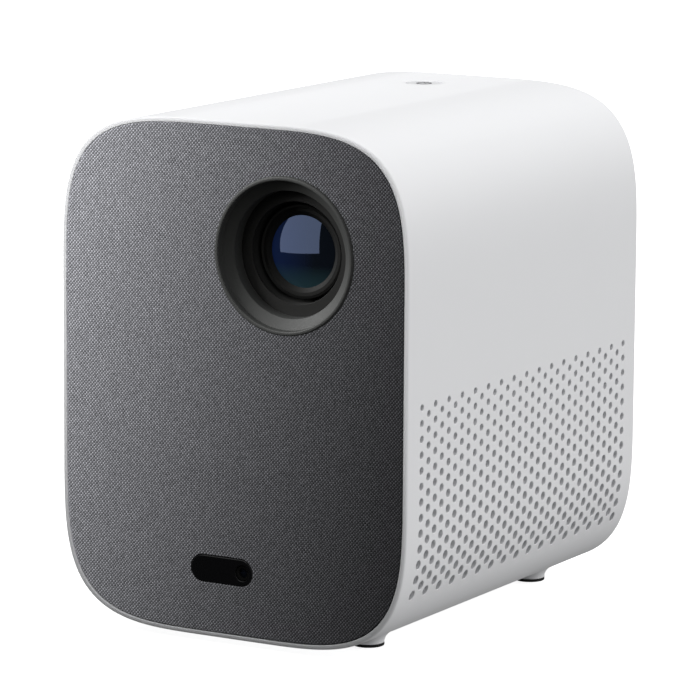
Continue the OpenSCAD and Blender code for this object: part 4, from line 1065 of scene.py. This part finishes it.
def build_button():
    """Power button: a dished cap with a soft edge, its guide flange and plunger."""
    b = Builder()
    top = button_high.z
    flange_r, flange_t = BUTTON_R + 1 * MM, 1.2 * MM
    flange_z = shell_high.z - WALL - FIT_GAP
    flange_low = flange_z - flange_t
    plunger_r = 1.5 * MM
    dish, dish_rings = 0.12 * MM, 12
    profile = []
    for k in range(dish_rings + 1):
        t = k / dish_rings
        profile.append((BUTTON_R * t * 0.9, top - dish * (1 - t ** 2)))
    profile += [(BUTTON_R - inset, top - depth) for inset, depth in rolled(0.4 * MM)]
    profile += [(BUTTON_R, flange_z), (flange_r, flange_z), (flange_r, flange_low), (plunger_r, flange_low),
                (plunger_r, button_low.z), (0.0, button_low.z)]
    upright(b, profile, BUTTON_X, BUTTON_Y, 96)
    b.finish("power_cap", body="button", replaces=("power_button",), slot="case_white",
             material=BUTTON_WHITE)


def build_icon():
    """Printed power mark: a broken ring and a bar, a hair above the cap."""
    b = Builder()
    ring_r = icon_high.x - BUTTON_X
    width, half_gap = 0.55 * MM, 0.75 * MM
    top = icon_high.z + 0.02 * MM
    low = top - 0.2 * MM
    gap = math.degrees(math.asin(half_gap / (ring_r - width / 2)))
    outside, inside = (arc(BUTTON_X, BUTTON_Y, r, 90 + gap, 450 - gap, 60) for r in (ring_r, ring_r - width))
    half_w, bar_low, bar_high = 0.28 * MM, BUTTON_Y + 0.5 * MM, BUTTON_Y + 0.2 * MM + ring_r
    corners = ((-half_w, bar_low), (half_w, bar_low), (half_w, bar_high), (-half_w, bar_high))
    bar = [(BUTTON_X + dx, y) for dx, y in corners]
    for shape in (outside + inside[::-1], bar):
        upper = b.ring([(x, y, top) for x, y in shape])
        lower = b.ring([(x, y, low) for x, y in shape])
        b.bridge(upper, lower)
        b.cap(upper)
        b.cap(lower)
    b.finish("power_mark", body="button", replaces=("power_icon",), slot="icon_grey")


def build_pads():
    """Rubber pads with a ring groove, set in the feet."""
    b = Builder()
    low, seat = pads_low.z, FOOT_BASE_Z
    plug_r = FOOT_RECESS_R - FIT_GAP
    groove_top = low + 0.18 * MM
    profile = [(0.0, low), (2.0 * MM, low), (2.15 * MM, groove_top), (2.65 * MM, groove_top),
               (2.8 * MM, low)]
    profile += [(FOOT_R - inset, low + depth) for inset, depth in rolled(0.3 * MM, 5)]
    profile += [(FOOT_R, seat), (plug_r, seat), (plug_r, pads_high.z), (0.0, pads_high.z)]
    for x, y in FOOT_PLACES:
        upright(b, profile, x, y, 72)
    b.finish("grip_pads", body="case", replaces=("foot_pads",), slot="pad_rubber")


def build_nut():
    """Brass tripod nut with a cut thread of 20 turns to the inch in its bore."""
    b = Builder()
    z0, z1 = nut_low.z, nut_high.z
    flange_r, flange_z = 7 * MM, z1 - 1 * MM
    minor_r, depth, pitch = 2.6 * MM, 0.5 * MM, 25.4 * MM / 20
    mouth_r, chamfer = minor_r + 0.6 * MM, 0.2 * MM
    bore_end = 0.4 * MM
    segments = 72
    turns = [k / segments for k in range(segments)]

    def thread_r(turn, z):
        """Radius of the bore where the thread passes, which climbs one pitch in a turn."""
        return minor_r + depth * (1 - 2 * abs(math.remainder(z / pitch - turn, 1.0)))

    def ring(radius, z):
        """A level ring whose radius depends on the turn round it and on z."""
        points = []
        for turn in turns:
            a = 2 * math.pi * turn
            r = radius(turn, z)
            points.append((r * math.cos(a), r * math.sin(a), z))
        return b.ring(points)

    outline = [(mouth_r, z0), (NUT_R - chamfer, z0), (NUT_R, z0 + chamfer), (NUT_R, flange_z),
               (flange_r, flange_z), (flange_r, z1), (mouth_r, z1)]
    chain = [ring(lambda _turn, _z, r=r: r, z) for r, z in outline]
    chain += [ring(thread_r, z) for z in spread(z1 - bore_end, z0 + bore_end, pitch / 8)]
    for a, c in zip(chain, chain[1:] + chain[:1]):
        b.bridge(a, c)
    b.finish("threaded_insert", body="case", replaces=("tripod_nut",), slot="nut_brass")


build_shell()
build_fabric()
build_window()
build_lens()
build_rear()
build_button()
build_icon()
build_pads()
build_nut()


# ---- studio

def build_floor():
    """Plain white floor that shows to the camera only, and from above only."""
    b = Builder()
    half = 6.0
    b.faces.append(tuple(b.ring([(-half, -half, 0), (half, -half, 0), (half, half, 0), (-half, half, 0)])))
    f = Finish("studio_floor", (0.85, 0.85, 0.85), 0.6, Emission_Strength=0.8)
    f.shader.inputs["Emission Color"].default_value = (1, 1, 1, 1)
    grain = f.noise(3.0, 2.0)
    f.base(f.mix(grain, (0.84, 0.84, 0.84), (0.86, 0.86, 0.86)))
    underneath = f.node("ShaderNodeNewGeometry").outputs["Backfacing"]
    f.tree.links.new(f.math("SUBTRACT", 1.0, underneath), f.shader.inputs["Alpha"])
    floor = b.finish("studio_floor", material=f.material)
    floor.visible_diffuse = False
    floor.visible_glossy = False
    floor.visible_shadow = False


def gathered(name, pieces):
    """A collection of pieces, for a light to be limited to."""
    made = bpy.data.collections.new(name)
    for piece in pieces:
        made.objects.link(bpy.data.objects[piece])
    return made


def hang(name, kind, place, aim, lit, **settings):
    """A light that the camera doesn't see, aimed at a point, on the lit pieces or on all of them."""
    data = bpy.data.lights.new(name, kind)
    for key, value in settings.items():
        setattr(data, key, value)
    lamp = bpy.data.objects.new(name, data)
    bpy.context.scene.collection.objects.link(lamp)
    lamp.location = place
    lamp.rotation_euler = (Vector(aim) - Vector(place)).to_track_quat("-Z", "Y").to_euler()
    lamp.visible_camera = False
    if lit:
        lamp.light_linking.receiver_collection = gathered(name + "_lit", lit)
    return lamp


def soft_light(name, place, aim, size, radiance, lit=()):
    """Rectangular soft light of a given brightness."""
    width, height = size
    hang(name, "AREA", place, aim, lit, shape="RECTANGLE", size=width, size_y=height,
         energy=radiance * math.pi * width * height)


def gridded_light(name, place, aim, half_angle, intensity, radius, lit):
    """A studio light with a grid: its beam fades to its edge, and the lit pieces alone cast shadows."""
    lamp = hang(name, "SPOT", place, aim, lit, spot_size=math.radians(2 * half_angle), spot_blend=1.0,
                shadow_soft_size=radius, energy=intensity * 4 * math.pi ** 2)
    lamp.light_linking.blocker_collection = gathered(name + "_blocked", lit)
    return lamp


def polar(azimuth, elevation):
    """Direction of a bearing: azimuth 0 is in front (-Y), positive towards +X."""
    a, e = math.radians(azimuth), math.radians(elevation)
    return Vector((math.sin(a) * math.cos(e), -math.cos(a) * math.cos(e), math.sin(e)))


def build_world():
    """White surroundings: even light from the sides, rear and above, dark in front of the projector."""
    level, from_above, from_right, front_shade = 0.78, 0.56, 0.18, 1.2
    least, mirrored = 0.02, 0.5
    world = bpy.data.worlds.new("studio")
    bpy.context.scene.world = world
    w = Nodes(world)
    background = w.tree.nodes["Background"]
    background.inputs["Color"].default_value = (1, 1, 1, 1)
    way = w.node("ShaderNodeSeparateXYZ", {0: w.node("ShaderNodeTexCoord").outputs["Generated"]}).outputs
    path = w.node("ShaderNodeLightPath").outputs
    total = w.math("MULTIPLY_ADD", way["Z"], from_above, level)
    total = w.math("MULTIPLY_ADD", way["X"], from_right, total)
    total = w.math("MULTIPLY_ADD", w.math("MINIMUM", way["Y"], 0.0), front_shade, total)
    total = w.math("MAXIMUM", total, least)
    dimmed = w.math("MULTIPLY_ADD", path["Is Glossy Ray"], mirrored - 1, 1.0)
    total = w.math("MULTIPLY", total, dimmed)
    total = w.math("MAXIMUM", total, path["Is Camera Ray"])
    w.tree.links.new(total, background.inputs["Strength"])


def build_camera():
    """A long lens placed as in the photo, aimed a little off the middle of the front."""
    azimuth, elevation, roll = 30.12, 9.92, math.radians(0.384)
    distance, focal_length = 1.2447, 225.46
    shift_right, shift_up = 33.74 * MM, 9.45 * MM
    back = polar(azimuth, elevation)
    level_right = Vector((math.cos(math.radians(azimuth)), math.sin(math.radians(azimuth)), 0))
    level_up = back.cross(level_right)
    right = math.cos(roll) * level_right + math.sin(roll) * level_up
    up = math.cos(roll) * level_up - math.sin(roll) * level_right
    aim = Vector((0, FRONT_Y, MID_Z)) + shift_right * right + shift_up * up
    data = bpy.data.cameras.new("camera")
    data.sensor_width = 36
    data.lens = focal_length
    data.clip_start, data.clip_end = 0.05, 50
    camera = bpy.data.objects.new("camera", data)
    bpy.context.scene.collection.objects.link(camera)
    turn = Matrix((right, up, back)).transposed().to_4x4()
    camera.matrix_world = Matrix.Translation(aim + distance * back) @ turn
    bpy.context.scene.camera = camera


def build_lights():
    """The reflection in the lens, keys for cloth, bezel and rim, panels round the case and a fill."""
    lens_centre = Vector((LENS_X, FRONT_Y, LENS_Z))
    box_way = 0.5 * polar(-44.5, 0)
    box_centre = lens_centre + box_way + Vector((0, 0, 0.17))
    soft_light("reflected_softbox", box_centre, box_centre - box_way, (0.62, 0.52), 1.15, ("front_glass",))
    cloth_key = gridded_light("cloth_key", (-0.4, -0.5, 0.37), (-0.661, FRONT_Y, 0.42), 85, 66.0, 0.015,
                              ("woven_front",))
    cloth_key.visible_glossy = False
    gridded_light("bezel_key", (-0.37, -0.31, 0.34), lens_centre, 24, 0.3, 0.12,
                  ("bezel_ring", "stray_light_baffle", "retaining_cone"))
    gridded_light("rim_light", (-0.12, -0.62, 0.35), (-0.1, FRONT_Y, 0.16), 14, 0.45, 0.1, ("case_shell",))
    gridded_light("right_rim_light", (0.1, -0.75, 0.12), (0.075, FRONT_Y, 0.1), 9, 0.13, 0.05,
                  ("case_shell",))
    soft_light("side_panel", (0.95, 1.15, 0.6), (0.05, 0, 0.1), (0.9, 0.9), 0.75)
    soft_light("top_panel", (0, 0.3, 1.2), (0, 0, 0.1), (1.0, 1.0), 0.55)
    soft_light("well_fill", (-0.28, -0.6, 0.45), lens_centre, (0.5, 0.5), 1.0,
               ("bezel_ring", "stray_light_baffle", "lens_tube", "sensor_pill"))


build_floor()
build_world()
build_lights()
build_camera()
bpy.context.scene.view_settings.view_transform = "Standard"
